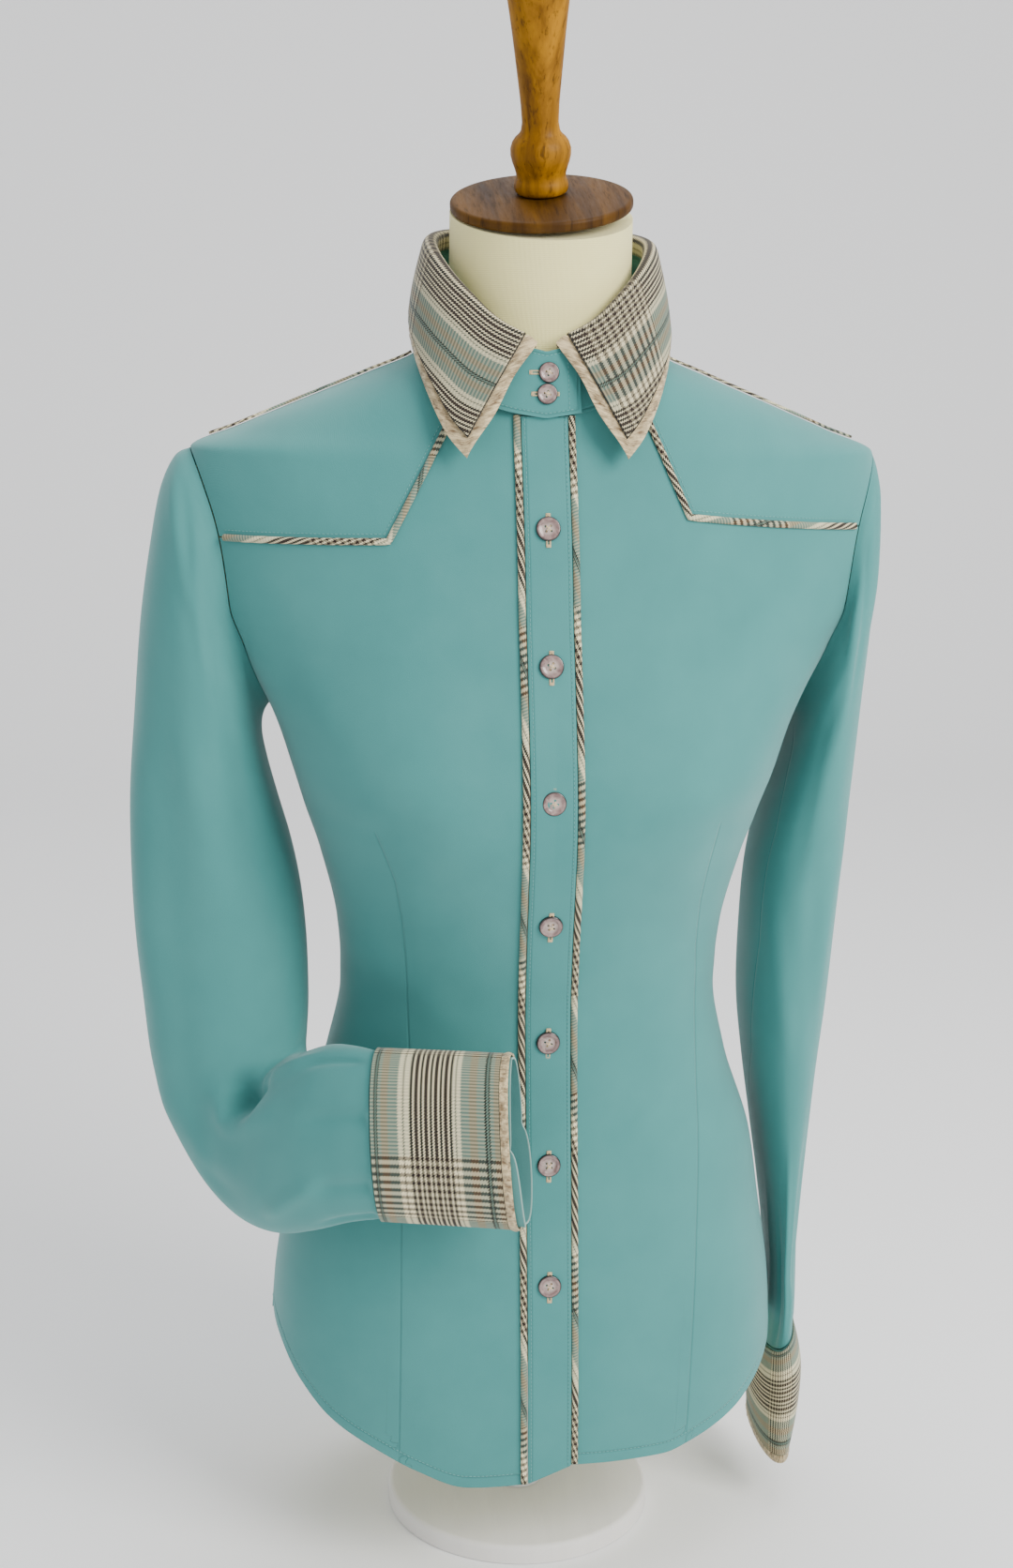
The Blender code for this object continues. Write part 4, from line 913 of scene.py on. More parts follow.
half_yoke = spread(back_yoke_line(80), HALF_BACK)
left = side_edge(HEM_BACK[0].z, BACK_SIDE_ROWS, armhole_turn(BACK_YOKE_END_Z, False), 46)
middle = line((2, HEM_BACK[-1].z), half_yoke[-1], len(left))
grid = patch(spread(on_seam(HEM_BACK, np.linspace(1, 2, 60)), HALF_BACK), half_yoke, left, middle)
grid[-1, :, 1] -= BACK_YOKE_GAP
grid[:BACK_SIDE_ROWS, 0, 0] += beside_side_seam(grid[:BACK_SIDE_ROWS, 0, 1], SEAM_HALF_GAP)
around, z = mirrored(grid)
flat_points = on_shirt(around, z)
points = on_shirt(around, z, fold_rise(flat_points[..., 0], z, BACK_FOLDS))
seams = nearest_seam(hem_distance(points, points[0], HEM_TURN),
                     *(to_line(flat_points[..., 0], z, dart) for dart in BACK_DARTS))
cut_cloth("back", points, teal, "teal_crepe",
          uv=pairs(-flat_points[..., 0] * WIDTH_ROUND_BODY, z), to_seam=seams)

neck = on_seam(NECK_SEAM, np.linspace(1, 2, HALF_BACK))
shoulder = joined(
    armhole(np.linspace(armhole_turn(BACK_YOKE_END_Z, False), 1, ARMHOLE_ROWS)),
    line((1, ARMHOLE["z"] + ARMHOLE["tall"]), neck[0], 40),
)
middle = line(half_yoke[-1], neck[-1], len(shoulder))
grid = patch(half_yoke, neck, shoulder, middle)
grid[0, :, 1] += BACK_YOKE_GAP
on_shoulder = grid[ARMHOLE_ROWS - 1:, 0]
on_shoulder[:, 0] += beside_side_seam(on_shoulder[:, 1], SHOULDER_GAP)
around, z = mirrored(grid)
points = on_shirt(around, z)
cut_cloth("yoke_back", points, teal, "teal_crepe",
          uv=pairs(-points[..., 0], points[..., 2] + points[..., 1]))


# The button placket: a straight band sewn over the right front's edge, its two edges pressed round.
PLACKET_HALF, PLACKET_ROLL = 13.1 * MM, 1.2 * MM
PLACKET_GROOVE, PLACKET_STITCH = 10.9 * MM, 11.2 * MM
PLACKET_LIFT = 1.5 * LAY + CLOTH
x = np.linspace(-PLACKET_HALF, PLACKET_HALF, 31)
z = np.repeat(front_rows(HEM_LEFT, 260)[:, None], len(x), axis=1)
z[0] = np.linspace(seam_z(HEM_RIGHT, 0.0), seam_z(HEM_LEFT, 0.0), len(x)) - 0.5 * MM
z[-1] = PLACKET_TOP
roll = 0.55 * MM * np.clip((np.abs(x) - PLACKET_HALF + PLACKET_ROLL) / PLACKET_ROLL, 0, 1) ** 2
points = on_shirt(around_at_x(opening_x(z) + x, z), z, PLACKET_LIFT - roll[None, :])
cut_cloth("placket", points, teal, "teal_crepe",
          uv=pairs(x + 0.3, z + 0.01),
          to_seam=(np.abs(x) - PLACKET_GROOVE, 0.7))


# The plaid: a yarn-dyed cloth, charted in millimetres across one repeat. Warp stripes run up it and
# weft rows cross them, woven as a two-up two-down twill, so that dark bars come out with toothed edges.
CREAM = from_screen(234, 222, 182)
BLACK = from_screen(4, 2, 2)
BROWN = from_screen(28, 9, 5)
SKY = from_screen(92, 116, 104)
TAN = from_screen(122, 102, 72)
DOTTED = from_screen(36, 28, 22)
WARP_REPEAT = 54.8
WARP_CHART = (
    (0.0, BLACK), (0.75, SKY), (1.55, BLACK), (2.3, SKY), (4.2, TAN), (7.6, SKY), (12.0, CREAM),
    (14.2, DOTTED), (14.8, CREAM), (38.6, CREAM), (40.8, DOTTED), (41.4, CREAM), (43.5, SKY),
    (47.9, TAN), (51.2, SKY),
)
BLOCK_FROM, BLOCK_TO, BAR_REPEAT = 17.5, 39.4, 5.1
BAR_CHART = ((0.0, BLACK), (1.45, CREAM), (2.20, BROWN), (4.25, CREAM))
WEFT_REPEAT = 92.0
WEFT_CHART = (
    (0.0, CREAM), (36.0, SKY), (61.0, DOTTED), (61.7, SKY), (63.4, DOTTED), (64.1, SKY),
)
ROW_REPEAT = 3.9
ROW_CHART = ((0.0, BROWN), (1.9, CREAM))
FINE_REPEAT = 1.75
FINE_CHART = ((0.0, SKY), (0.9, CREAM))
TEETH = 1.35

plaid_weave, place = new_group("plaid_weave", {"Place": "Vector"}, {"Color": "Color", "Height": "Float"})


def charted(place_mm, repeat, chart):
    """The colour that a chart of (start in mm, colour) gives at a place along it."""
    ramp = node(plaid_weave, "ShaderNodeValToRGB", {"Fac": (place_mm / repeat).math("FRACT")})
    steps = ramp.socket.node.color_ramp
    steps.interpolation = "CONSTANT"
    for number, (start, colour) in enumerate(chart):
        stop = steps.elements[number] if number < 2 else steps.elements.new(start / repeat)
        stop.position, stop.color = start / repeat, colour
    return ramp


def within(place_mm, repeat, start, end):
    """1 where a place lies between two others in its repeat, else 0."""
    turned = place_mm.math("WRAP", repeat, 0.0)
    return turned.math("GREATER_THAN", start) * turned.math("LESS_THAN", end)


in_mm = node(plaid_weave, "ShaderNodeVectorMath", {0: place, 1: (1000, 1000, 1000)}, operation="MULTIPLY")
across = node(plaid_weave, "ShaderNodeSeparateXYZ", {0: in_mm})
along = across.output("Y")
saw = [((place_mm / TEETH).math("FRACT") - 0.5) * 0.9 for place_mm in (along, across)]
toothed, toothed_rows = across + saw[0], along + saw[1]
bars = charted(toothed.math("WRAP", WARP_REPEAT, 0.0) - BLOCK_FROM, BAR_REPEAT, BAR_CHART)
in_block = within(toothed, WARP_REPEAT, BLOCK_FROM, BLOCK_TO)
warp = in_block.blend(charted(toothed, WARP_REPEAT, WARP_CHART), bars)
fine = charted(along, FINE_REPEAT, FINE_CHART)
in_rows = within(along, WEFT_REPEAT, 0.0, WEFT_CHART[1][0])
weft = in_rows.blend(blend(plaid_weave, 0.6, charted(along, WEFT_REPEAT, WEFT_CHART), fine),
                     charted(toothed_rows, ROW_REPEAT, ROW_CHART))
bare = (in_block + within(toothed, WARP_REPEAT, 0.0, WARP_CHART[3][0])) * 0.37
weft_share = node(plaid_weave, "ShaderNodeMath", {0: 0.42, 1: bare}, operation="SUBTRACT")
weft_share = weft_share + within(toothed_rows, ROW_REPEAT, 0.0, ROW_CHART[1][0]) * in_rows * 0.28
weft_share = weft_share + in_rows * in_block * 0.14
twill = ((along + across) / 0.7).math("FRACT")
give_out(plaid_weave, Color=weft_share.blend(warp, weft), Height=twill)


def plaid_cloth(name, shadow_edge=0.0, shade=0.0):
    """The plaid, and where asked a painted shadow line at its edge and an overall painted shade."""
    made, tree, shader = new_material(name, CREAM, 0.78, Sheen_Weight=0.15, Specular_IOR_Level=0.25)
    woven = node(tree, "ShaderNodeGroup", {"Place": place_in(tree)}, node_tree=plaid_weave)
    by_edge = attribute(tree, "to_seam").math("LESS_THAN", 0.7 * MM) * shadow_edge
    colour = by_edge.blend(blend(tree, shade, woven, DOTTED), BLACK)
    give_look(shader, colour, bumped(tree, woven.output("Height"), 0.25, 0.2 * MM))
    return made


plaid = plaid_cloth("plaid_shirting_cloth")
# The collar's plaid is an overall darker copy, painted shade, with a painted shadow line along its edge.
collar_plaid_painted_shade = plaid_cloth("plaid_collar_painted_shade", 0.85, 0.27)


# The tan trim: satin jacquard, a little shiny and crinkled across its edge. Its colour is partly the woven
# figure, partly painted highlight on the crinkles' crests and painted shade in their hollows.
tan, tree, shader = new_material("tan_jacquard_satin", from_screen(206, 184, 146), 0.42, Sheen_Weight=0.3)
place = place_in(tree)
stretched = node(tree, "ShaderNodeMapping", {0: place, 3: (520.0, 200.0, 1.0)})
figure = node(tree, "ShaderNodeTexVoronoi", {"Vector": place, "Scale": 260.0})
height = noise(tree, stretched, 1.0, 4.0, Roughness=0.65, Distortion=0.6) + figure * 0.35
# Painted highlight on the high parts and painted shade in the hollows, over the jacquard's figure.
colour = height.mapped(0.48, 0.84).blend(from_screen(118, 92, 56), from_screen(226, 204, 156))
give_look(shader, colour, bumped(tree, height, 1.0, 1.6 * MM))


# Piping: a bias-cut plaid cord in both placket edges, along the yoke seams and over the shoulders. The
# plaid is laid askew on it, so its stripes wind down the cord and change colour block by block.
PIPING_HALF = 2.0 * MM
PIPING_CENTRE = 15.5 * MM
PIPING_STEP, PIPING_CUT = 1.6 * MM, 6.2 * MM
BIAS = math.radians(21)


def piping(name, points, length, start):
    """A round-topped cord along a line of (around, z)."""
    points = spread(np.asarray(points), int(length / PIPING_STEP))
    centre = on_shirt(points[:, 0], points[:, 1])
    normal = outward(points[:, 0], points[:, 1])
    beside_line = unit(np.cross(normal, np.gradient(centre, axis=0)))
    angle = np.linspace(math.pi, 0, 9)
    grid = (
        centre[:, None]
        + beside_line[:, None] * (-np.cos(angle) * PIPING_HALF)[None, :, None]
        + normal[:, None] * (LAY + 0.5 * MM + np.sin(angle) * 1.5 * MM)[None, :, None]
    )
    side = (angle - math.pi / 2) * PIPING_HALF * 0.9
    far, side = np.meshgrid(run_length(centre), side, indexing="ij")
    u = side * math.cos(BIAS) - far * math.sin(BIAS) + start
    v = side * math.sin(BIAS) + far * math.cos(BIAS)
    cut_cloth(name, grid, plaid, "plaid_shirting",
              uv=pairs(u, v), thick=0.5 * MM, ending="_cord")


for side, word, hem, start in ((-1, "right", HEM_RIGHT, 0.019), (1, "left", HEM_LEFT, 0.036)):
    z = front_rows(hem, 120)
    z[[0, -1]] = z[0] + 1 * MM, PLACKET_TOP + 1 * MM
    around = around_at_x(opening_x(z) + PIPING_CENTRE * side, z)
    piping("piping_placket_" + word, pairs(around, z), 0.64, start)
for side, yoke, word, start in ((-1, YOKE_RIGHT, "right", 0.020), (1, YOKE_LEFT, "left", 0.044)):
    seam = yoke_line(yoke, 40, 50) * (side, 1)
    piping("piping_yoke_" + word, seam[2:-2], 0.17, start)
    shoulder = line((1.0, float(seam_z(NECK_SEAM, 1.0))), armhole(0.0), 40) * (side, 1)
    shoulder[:, 0] += 0.012 * (side > 0)
    piping("piping_shoulder_" + word, shoulder[4:-4], 0.115, start)
around, z = mirrored(spread(back_yoke_line(60), 60)[None])
piping("piping_yoke_back", pairs(around[0], z[0])[2:-2], 0.34, 0.01)


# Topstitching: each stitch is a short fat thread on the cloth. It runs along both sides of the placket,
# above the yoke seams, round the hem and round the stand.
YOKE_STITCH = 4.2 * MM
THREAD_SIDES = 5
THREAD_RINGS = ((0.0, 0.22, 0.78, 1.0), (0.35, 1.0, 1.0, 0.35))  # places along it and their sizes


def threads(name, stitches, finish, slot, wide=0.42 * MM, high=0.26 * MM):
    """Draws stitches, each a (start, end, outward), as short threads with tapered ends."""
    start, end, normal = (np.array(part, float)[:, None] for part in zip(*stitches))
    sideways = unit(np.cross(end - start, normal))[:, :, None]
    turn = np.arange(THREAD_SIDES) * 2 * math.pi / THREAD_SIDES
    at, size = (np.array(each)[:, None] for each in THREAD_RINGS)
    middle = start + (end - start) * at + normal * high * 0.4
    points = (
        middle[:, :, None]
        + sideways * (np.cos(turn) * wide / 2 * size)[..., None]
        + normal[:, :, None] * (np.sin(turn) * high * size)[..., None]
    ).reshape(-1, 3)
    sides = np.arange(THREAD_SIDES)
    first_end, last_end = sides[::-1].tolist(), (sides + (len(at) - 1) * THREAD_SIDES).tolist()
    one = grid_faces(len(at), THREAD_SIDES, True).tolist() + [first_end, last_end]
    firsts = range(0, len(points), len(at) * THREAD_SIDES)
    faces = [[first + i for i in face] for first in firsts for face in one]
    mesh = bpy.data.meshes.new(name)
    mesh.from_pydata(points.tolist(), [], faces)
    make_active(new_piece(name, mesh, finish, slot))
    turn_faces_out()
    mesh.shade_smooth()


def stitch_run(points, normals, pitch=2.5 * MM, length=1.75 * MM):
    """Stitches along a line of points in space."""
    far = run_length(points)
    starts = np.arange(0.5 * MM, far[-1] - length, pitch)
    normals = unit(read_off(starts, far, normals))
    return list(zip(read_off(starts, far, points), read_off(starts + length, far, points), normals))


def stitch_shirt(around, z, lift=0.0):
    return stitch_run(on_shirt(around, z, lift), outward(around, z))


def beside(points, distance):
    """A line of (around, z) moved sideways on the surface, to the left of the way it runs."""
    around, z = points[:, 0], points[:, 1]
    per_around = (surface(around + 1e-3, z) - surface(around - 1e-3, z)) / 2e-3
    per_z = (surface(around, z + 1e-4) - surface(around, z - 1e-4)) / 2e-4
    run = np.gradient(surface(around, z), axis=0)
    left = unit(np.cross(outward(around, z), run))
    moved = [
        np.linalg.lstsq(np.stack([a, b], 1), way * distance, rcond=None)[0]
        for a, b, way in zip(per_around, per_z, left)
    ]
    return points + np.array(moved)


teal_thread = new_material("teal_thread", from_screen(104, 166, 162), 0.6)[0]
beige_thread, tree, shader = new_material("beige_thread", from_screen(214, 190, 146), 0.6)
wound = noise(tree, place_in(tree, "Object"), 2600.0, 2.0)
give_look(shader, wound.blend(from_screen(176, 148, 104), from_screen(238, 218, 178)))

stitches = []
for side, hem in ((-1, HEM_RIGHT), (1, HEM_LEFT)):
    z = front_rows(HEM_LEFT, 200)
    z[0] = float(seam_z(hem, 0.0)) + 1 * MM
    z[-1] = PLACKET_TOP
    stitches += stitch_shirt(around_at_x(opening_x(z) + PLACKET_STITCH * side, z), z, PLACKET_LIFT)
threads("placket_topstitching", stitches, teal_thread, "teal_crepe")

stitches = []
for side, yoke in ((-1, YOKE_RIGHT), (1, YOKE_LEFT)):
    around, z = beside(yoke_line(yoke, 40, 50), YOKE_STITCH)[1:-1].T
    stitches += stitch_shirt(around * side, z)
around, z = mirrored(beside(spread(back_yoke_line(60), 60), YOKE_STITCH)[None, 1:])
stitches += stitch_shirt(around[0], z[0])
threads("yoke_topstitching", stitches, teal_thread, "teal_crepe")

stitches = []
for side, hem, start, stop in ((-1, HEM_RIGHT, 0.09, 0.99), (1, HEM_LEFT, 0.075, 0.99),
                               (1, HEM_BACK, 1.01, 2.0), (-1, HEM_BACK, 1.01, 2.0)):
    around = np.linspace(start, stop, 90)
    stitches += stitch_shirt(around * side, seam_z(hem, around) + HEM_TURN)
threads("hem_topstitching", stitches, teal_thread, "teal_crepe")


# Buttons: sew-through pearl with a rounded rim, a dished face and four holes crossed by pale thread. One is
# shaped from a cylinder, then set on the placket seven times, on the stand twice and on each cuff.
BUTTON_RADIUS = 7.0 * MM
COLLAR_BUTTON_RADIUS = 5.85 * MM
BUTTON_THICK = 2.6 * MM
BUTTON_SPACING = 0.075
COLLAR_BUTTONS = (("upper", 0.0027, 0.7358), ("lower", 0.0015, 0.7240))

pearl, tree, shader = new_material("smoky_pearl_shell", from_screen(178, 152, 150), 0.22, Coat_Weight=0.5,
                                   Coat_Roughness=0.08)
bands = noise(tree, place_in(tree, "Object"), 190.0, 3.0, Distortion=1.2)
colour = bands.mapped(0.35, 0.65).blend(from_screen(112, 86, 84), from_screen(160, 138, 132))
out = attribute(tree, "from_middle")
colour = (out.mapped(0.66, 0.20) * 0.6).blend(colour, from_screen(220, 208, 196))
# The rim is coloured near black: partly the shell's own dark edge, partly painted contact shadow, full round
# the outer edge and down the side.
edge = out.mapped(0.84, 0.93)
dark = (attribute(tree, "from_top").mapped(0.10, 0.22) * edge).math("MAXIMUM", edge * 0.9)
give_look(shader, dark.blend(colour, from_screen(22, 14, 14)))

# The model button has a radius of 1, and is sized when it is set in its place.
MODEL_THICK, HOLE_RADIUS, HOLE_OFF = 0.372, 0.105, 0.20
bpy.ops.mesh.primitive_cylinder_add(vertices=48, radius=1, depth=MODEL_THICK,
                                    location=(0, 0, MODEL_THICK / 2))
model_button = bpy.context.object
choose(model_button, "edges", lambda edge: np.ptp(heights(model_button, edge)) < 1e-4)
bpy.ops.mesh.bevel(offset=0.13, segments=5, affect="EDGES")
bpy.ops.object.mode_set(mode="OBJECT")
choose(model_button, "polygons", lambda face: face.normal.z > 0.99)
for inwards, rise in ((0.20, 0), (0.08, -0.06), (0.06, -0.015)):
    bpy.ops.mesh.inset(thickness=inwards, depth=rise)
bpy.ops.object.mode_set(mode="OBJECT")
for across, up in ((1, 1), (-1, 1), (-1, -1), (1, -1)):
    bpy.ops.mesh.primitive_cylinder_add(vertices=14, radius=HOLE_RADIUS, depth=1,
                                        location=(across * HOLE_OFF, up * HOLE_OFF, MODEL_THICK / 2))
    drill = bpy.context.object
    bpy.context.view_layer.objects.active = model_button
    cut = model_button.modifiers.new("Hole", "BOOLEAN")
    cut.operation = "DIFFERENCE"
    cut.object = drill
    bpy.ops.object.modifier_apply(modifier="Hole")
    bpy.data.objects.remove(drill, do_unlink=True)
model_mesh = model_button.data.copy()
bpy.data.objects.remove(model_button, do_unlink=True)
points = np.empty(len(model_mesh.vertices) * 3)
model_mesh.vertices.foreach_get("co", points)
x, y, z = points.reshape(-1, 3).T
add_measure(model_mesh, "from_middle", np.hypot(x, y))
add_measure(model_mesh, "from_top", MODEL_THICK - z)
model_mesh.shade_smooth()
model_mesh.set_sharp_from_angle(angle=math.radians(50))
button_threads = []


def set_button(name, centre, normal, radius, turn):
    """Sets a copy of the model button, turned about its own middle, with its two crossed threads."""
    normal = Vector(normal).normalized()
    turned = normal.to_track_quat("Z", "Y").to_matrix().to_4x4() @ Matrix.Rotation(turn, 4, "Z")
    place = Matrix.Translation(Vector(centre)) @ turned
    mesh = model_mesh.copy()
    mesh.transform(place @ Matrix.Diagonal((radius, radius, BUTTON_THICK / MODEL_THICK, 1)))
    new_piece("pearl_" + name, mesh, pearl, "smoky_pearl", name)
    off, height = HOLE_OFF * radius, BUTTON_THICK - 0.55 * MM
    for way in (1, -1):
        ends = [place @ Vector((x * off, y * off, height)) for x, y in ((way, 1), (-way, -1))]
        button_threads.append((*ends, normal))


def placket_point(z):
    """The placket's middle at a height, on the straight between two of the solid's rows."""
    rows = front_rows(HEM_LEFT, 20)
    rows[-1] = PLACKET_TOP
    above = np.searchsorted(rows, z)
    ends = rows[[above - 1, above]]
    low, high = on_shirt(around_at_x(opening_x(ends), ends), ends, PLACKET_LIFT)
    normal = unit(np.cross((1, 0, 0), high - low))
    return low + (high - low) * (z - ends[0]) / (ends[1] - ends[0]), normal


for number, turn in enumerate((0.10, 0.35, 0.62, 0.20, 0.48, 0.05, 0.30)):
    point, normal = placket_point(FIRST_BUTTON_Z - BUTTON_SPACING * number)
    set_button(f"button_{number + 1}", point + normal * LAY, normal, BUTTON_RADIUS, turn)
for name, x, z in COLLAR_BUTTONS:
    around = float(around_at_x(opening_x(z) + x, z))
    centre = on_shirt(around, z, 5 * LAY + 2 * CLOTH)
    set_button("collar_button_" + name, centre, outward(around, z), COLLAR_BUTTON_RADIUS, 0.5)


# Buttonholes: beige thread worked thickly down both sides of a slit, with a bar across each end. They run
# upright on the placket and level on the stand, and each shows a little past its button.
def buttonhole(centre, along, normal, length, wide):
    """Two worked sides and two end bars, as threads in space."""
    along = unit(np.asarray(along, float))
    sideways = np.cross(normal, along) * wide
    made = []
    for step in np.arange(-length / 2, length / 2, 0.55 * MM):
        middle = centre + along * step
        for side in (-1, 1):
            made.append((middle + sideways * side * 0.12, middle + sideways * side * 0.5, normal))
    for end in (-1, 1):
        for shift in (-0.5, 0.1, 0.7):
            middle = centre + along * end * (length / 2 + shift * MM)
            made.append((middle - sideways * 0.5, middle + sideways * 0.5, normal))
    return made


PLACKET_HOLE = (17.5 * MM, 3.0 * MM)
COLLAR_HOLE = (14 * MM, 2.6 * MM)
worked = []
for number in range(7):
    z = FIRST_BUTTON_Z - BUTTON_SPACING * number - 0.8 * MM
    point, normal = placket_point(z)
    up = np.cross(normal, np.cross((0, 0, 1), normal))
    worked += buttonhole(point, up, normal, *PLACKET_HOLE)
for (name, x, z), shift in zip(COLLAR_BUTTONS, (-3.0 * MM, -1.0 * MM)):
    around = float(around_at_x(opening_x(z) + x + shift, z))
    point, normal = on_shirt(around, z, 4 * LAY + 2 * CLOTH), outward(around, z)
    worked += buttonhole(point, (1.0, 0.0, 0.0) - normal * normal[0], normal, *COLLAR_HOLE)
threads("worked_buttonholes", worked, beige_thread, "teal_crepe", wide=0.62 * MM, high=0.5 * MM)


# Sleeves: the right one bent across the front, the left one hanging. Both are one-piece tubes set into the
# armholes, with soft ridges down from the shoulder, hollows in the elbow's bend and gathers at the cuff.
Section = namedtuple("Section", "outer_x outer_y outer_z inner_x inner_y inner_z deep facing")
BENT_SLEEVE = table(
    Section, (-0.203, 0.004, 0.688, -0.158, 0.004, 0.535, 0.058, 0),
    (-0.212, 0.003, 0.683, -0.161, 0.003, 0.531, 0.058, 0),
    (-0.221, 0.002, 0.664, -0.163, 0.002, 0.525, 0.057, 0),
    (-0.228, 0.001, 0.63, -0.163, 0.001, 0.515, 0.055, 0), (-0.234, 0, 0.59, -0.16, 0, 0.5, 0.053, 0),
    (-0.238, -0.001, 0.545, -0.154, -0.002, 0.478, 0.051, 0),
    (-0.241, -0.002, 0.5, -0.1465, -0.003, 0.452, 0.049, 0),
    (-0.242, -0.003, 0.45, -0.141, -0.006, 0.425, 0.048, 0),
    (-0.241, -0.005, 0.405, -0.138, -0.01, 0.398, 0.046, 2),
    (-0.237, -0.008, 0.36, -0.137, -0.017, 0.373, 0.044, 6),
    (-0.231, -0.012, 0.315, -0.1375, -0.027, 0.352, 0.042, 13),
    (-0.219, -0.017, 0.284, -0.14, -0.038, 0.339, 0.04, 22),
    (-0.2045, -0.025, 0.257, -0.1435, -0.049, 0.333, 0.037, 31),
    (-0.188, -0.038, 0.237, -0.146, -0.061, 0.333, 0.034, 39),
    (-0.17, -0.058, 0.227, -0.144, -0.075, 0.338, 0.031, 44),
    (-0.152, -0.081, 0.229, -0.138, -0.091, 0.347, 0.029, 44),
    (-0.134, -0.103, 0.24, -0.127, -0.108, 0.356, 0.026, 38),
    (-0.1135, -0.119, 0.252, -0.114, -0.121, 0.3592, 0.023, 27),
    (-0.0964, -0.1285, 0.258, -0.1016, -0.1295, 0.359, 0.021, 18),
)
BENT_CUFF = table(
    Section, (-0.0958, -0.129, 0.258, -0.101, -0.13, 0.3595, 0.021, 17),
    (-0.0705, -0.1365, 0.2588, -0.076, -0.1375, 0.3607, 0.0195, 17),
    (-0.045, -0.144, 0.2595, -0.0512, -0.145, 0.3618, 0.0185, 17),
    (-0.019, -0.1515, 0.26, -0.0264, -0.1525, 0.3627, 0.018, 17),
)
HANGING_SLEEVE = table(
    Section, (0.2035, 0.004, 0.688, 0.158, 0.004, 0.535, 0.05, 0),
    (0.206, 0.004, 0.68, 0.1605, 0.004, 0.531, 0.052, 0),
    (0.2065, 0.004, 0.662, 0.1625, 0.004, 0.525, 0.054, 0),
    (0.206, 0.004, 0.63, 0.162, 0.004, 0.515, 0.055, 0),
    (0.2045, 0.005, 0.59, 0.159, 0.005, 0.502, 0.055, 0),
    (0.202, 0.006, 0.545, 0.153, 0.006, 0.482, 0.055, 0),
    (0.2, 0.007, 0.498, 0.146, 0.008, 0.457, 0.055, 0),
    (0.1975, 0.009, 0.45, 0.1405, 0.01, 0.428, 0.055, 0), (0.195, 0.011, 0.4, 0.139, 0.012, 0.39, 0.055, 0),
    (0.192, 0.013, 0.345, 0.1395, 0.014, 0.34, 0.054, 0),
    (0.188, 0.015, 0.298, 0.145, 0.016, 0.296, 0.053, 0),
    (0.185, 0.017, 0.25, 0.153, 0.018, 0.248, 0.051, 0),
    (0.1825, 0.018, 0.205, 0.1605, 0.019, 0.202, 0.048, 0),
    (0.181, 0.018, 0.165, 0.1655, 0.019, 0.16, 0.045, 0),
    (0.18, 0.017, 0.14, 0.164, 0.017, 0.128, 0.043, 0), (0.18, 0.016, 0.121, 0.162, 0.016, 0.104, 0.042, 0),
)
HANGING_CUFF = table(
    Section, (0.1805, 0.016, 0.12, 0.1615, 0.016, 0.103, 0.043, 0),
    (0.1865, 0.015, 0.093, 0.16, 0.015, 0.08, 0.0425, 0),
    (0.1845, 0.013, 0.062, 0.16, 0.013, 0.056, 0.042, 0),
    (0.178, 0.011, 0.032, 0.162, 0.011, 0.031, 0.042, 0),
)
CUFF_BAND = 7 * MM
CUFF_LIFT = 1.6 * MM
SLEEVE_SEAM_GAP = 1.0 * MM


def rounded(t, rows):
    """Every column of a table of sections, on one smooth curve through its rows, at t from 0 to 1."""
    values = np.array(rows, float)
    place = np.clip(t, 0, 1) * (len(values) - 1)
    i = np.clip(place.astype(int), 0, len(values) - 2)
    f = (place - i)[:, None]
    first, start, end, last = (values[np.clip(i + step, 0, len(values) - 1)] for step in (-1, 0, 1, 2))
    return 0.5 * (
        2 * start
        + (end - first) * f
        + (2 * first - 5 * start + 4 * end - last) * f**2
        + (3 * start - first - 3 * end + last) * f**3
    )


def tube(sections, places, count, grow=0.0, power=2.2):
    """Rings of points round a sleeve at places from 0 to 1 along it. In a ring the outer point comes
    first, then the front, the inner and the back."""
    rings = len(places)
    at = rounded(np.asarray(places), sections)
    outer, inner = at[:, 0:3], at[:, 3:6]
    deep, facing = at[:, 6], np.radians(at[:, 7])
    side = np.sign(at[0, 0])
    centre = (outer + inner) / 2
    across = (outer - inner) / 2
    wide = np.linalg.norm(across, axis=1)
    across = across / wide[:, None]
    front = np.stack([side * np.sin(facing), -np.cos(facing), np.zeros(rings)], -1)
    front = unit(front - across * np.sum(front * across, axis=1)[:, None])
    angle = np.linspace(0, 2 * math.pi, count, endpoint=False)
    cosine, sine = np.cos(angle), np.sin(angle)
    reach = (np.abs(cosine) ** power + np.abs(sine) ** power) ** (-1 / power)
    return (
        centre[:, None]
        + across[:, None] * ((wide + grow)[:, None] * (cosine * reach))[..., None]
        + front[:, None] * ((deep + grow)[:, None] * (sine * reach))[..., None]
    )


def sleeve_grid(sections, rings, count):
    """A sleeve whose first ring is the armhole seam, easing into its own sections."""
    grid = tube(sections, np.linspace(0, 1, rings), count)
    side = 1 if sections[0].outer_x > 0 else -1
    seam = armhole(np.arange(count) / count)
    loop = on_shirt(seam[:, 0], seam[:, 1])
    away = outward(seam[:, 0], seam[:, 1])
    along = np.roll(loop, -1, axis=0) - np.roll(loop, 1, axis=0)
    leaving = unit(np.cross(along, away))
    leaving *= np.sign(leaving[:, :1])
    loop = loop + leaving * SLEEVE_SEAM_GAP
    loop[:, 0] *= side
    fade = eased_share(1 - np.linspace(0, 1, rings) / 0.22)
    return grid + (loop - grid[0])[None] * fade[:, None, None]


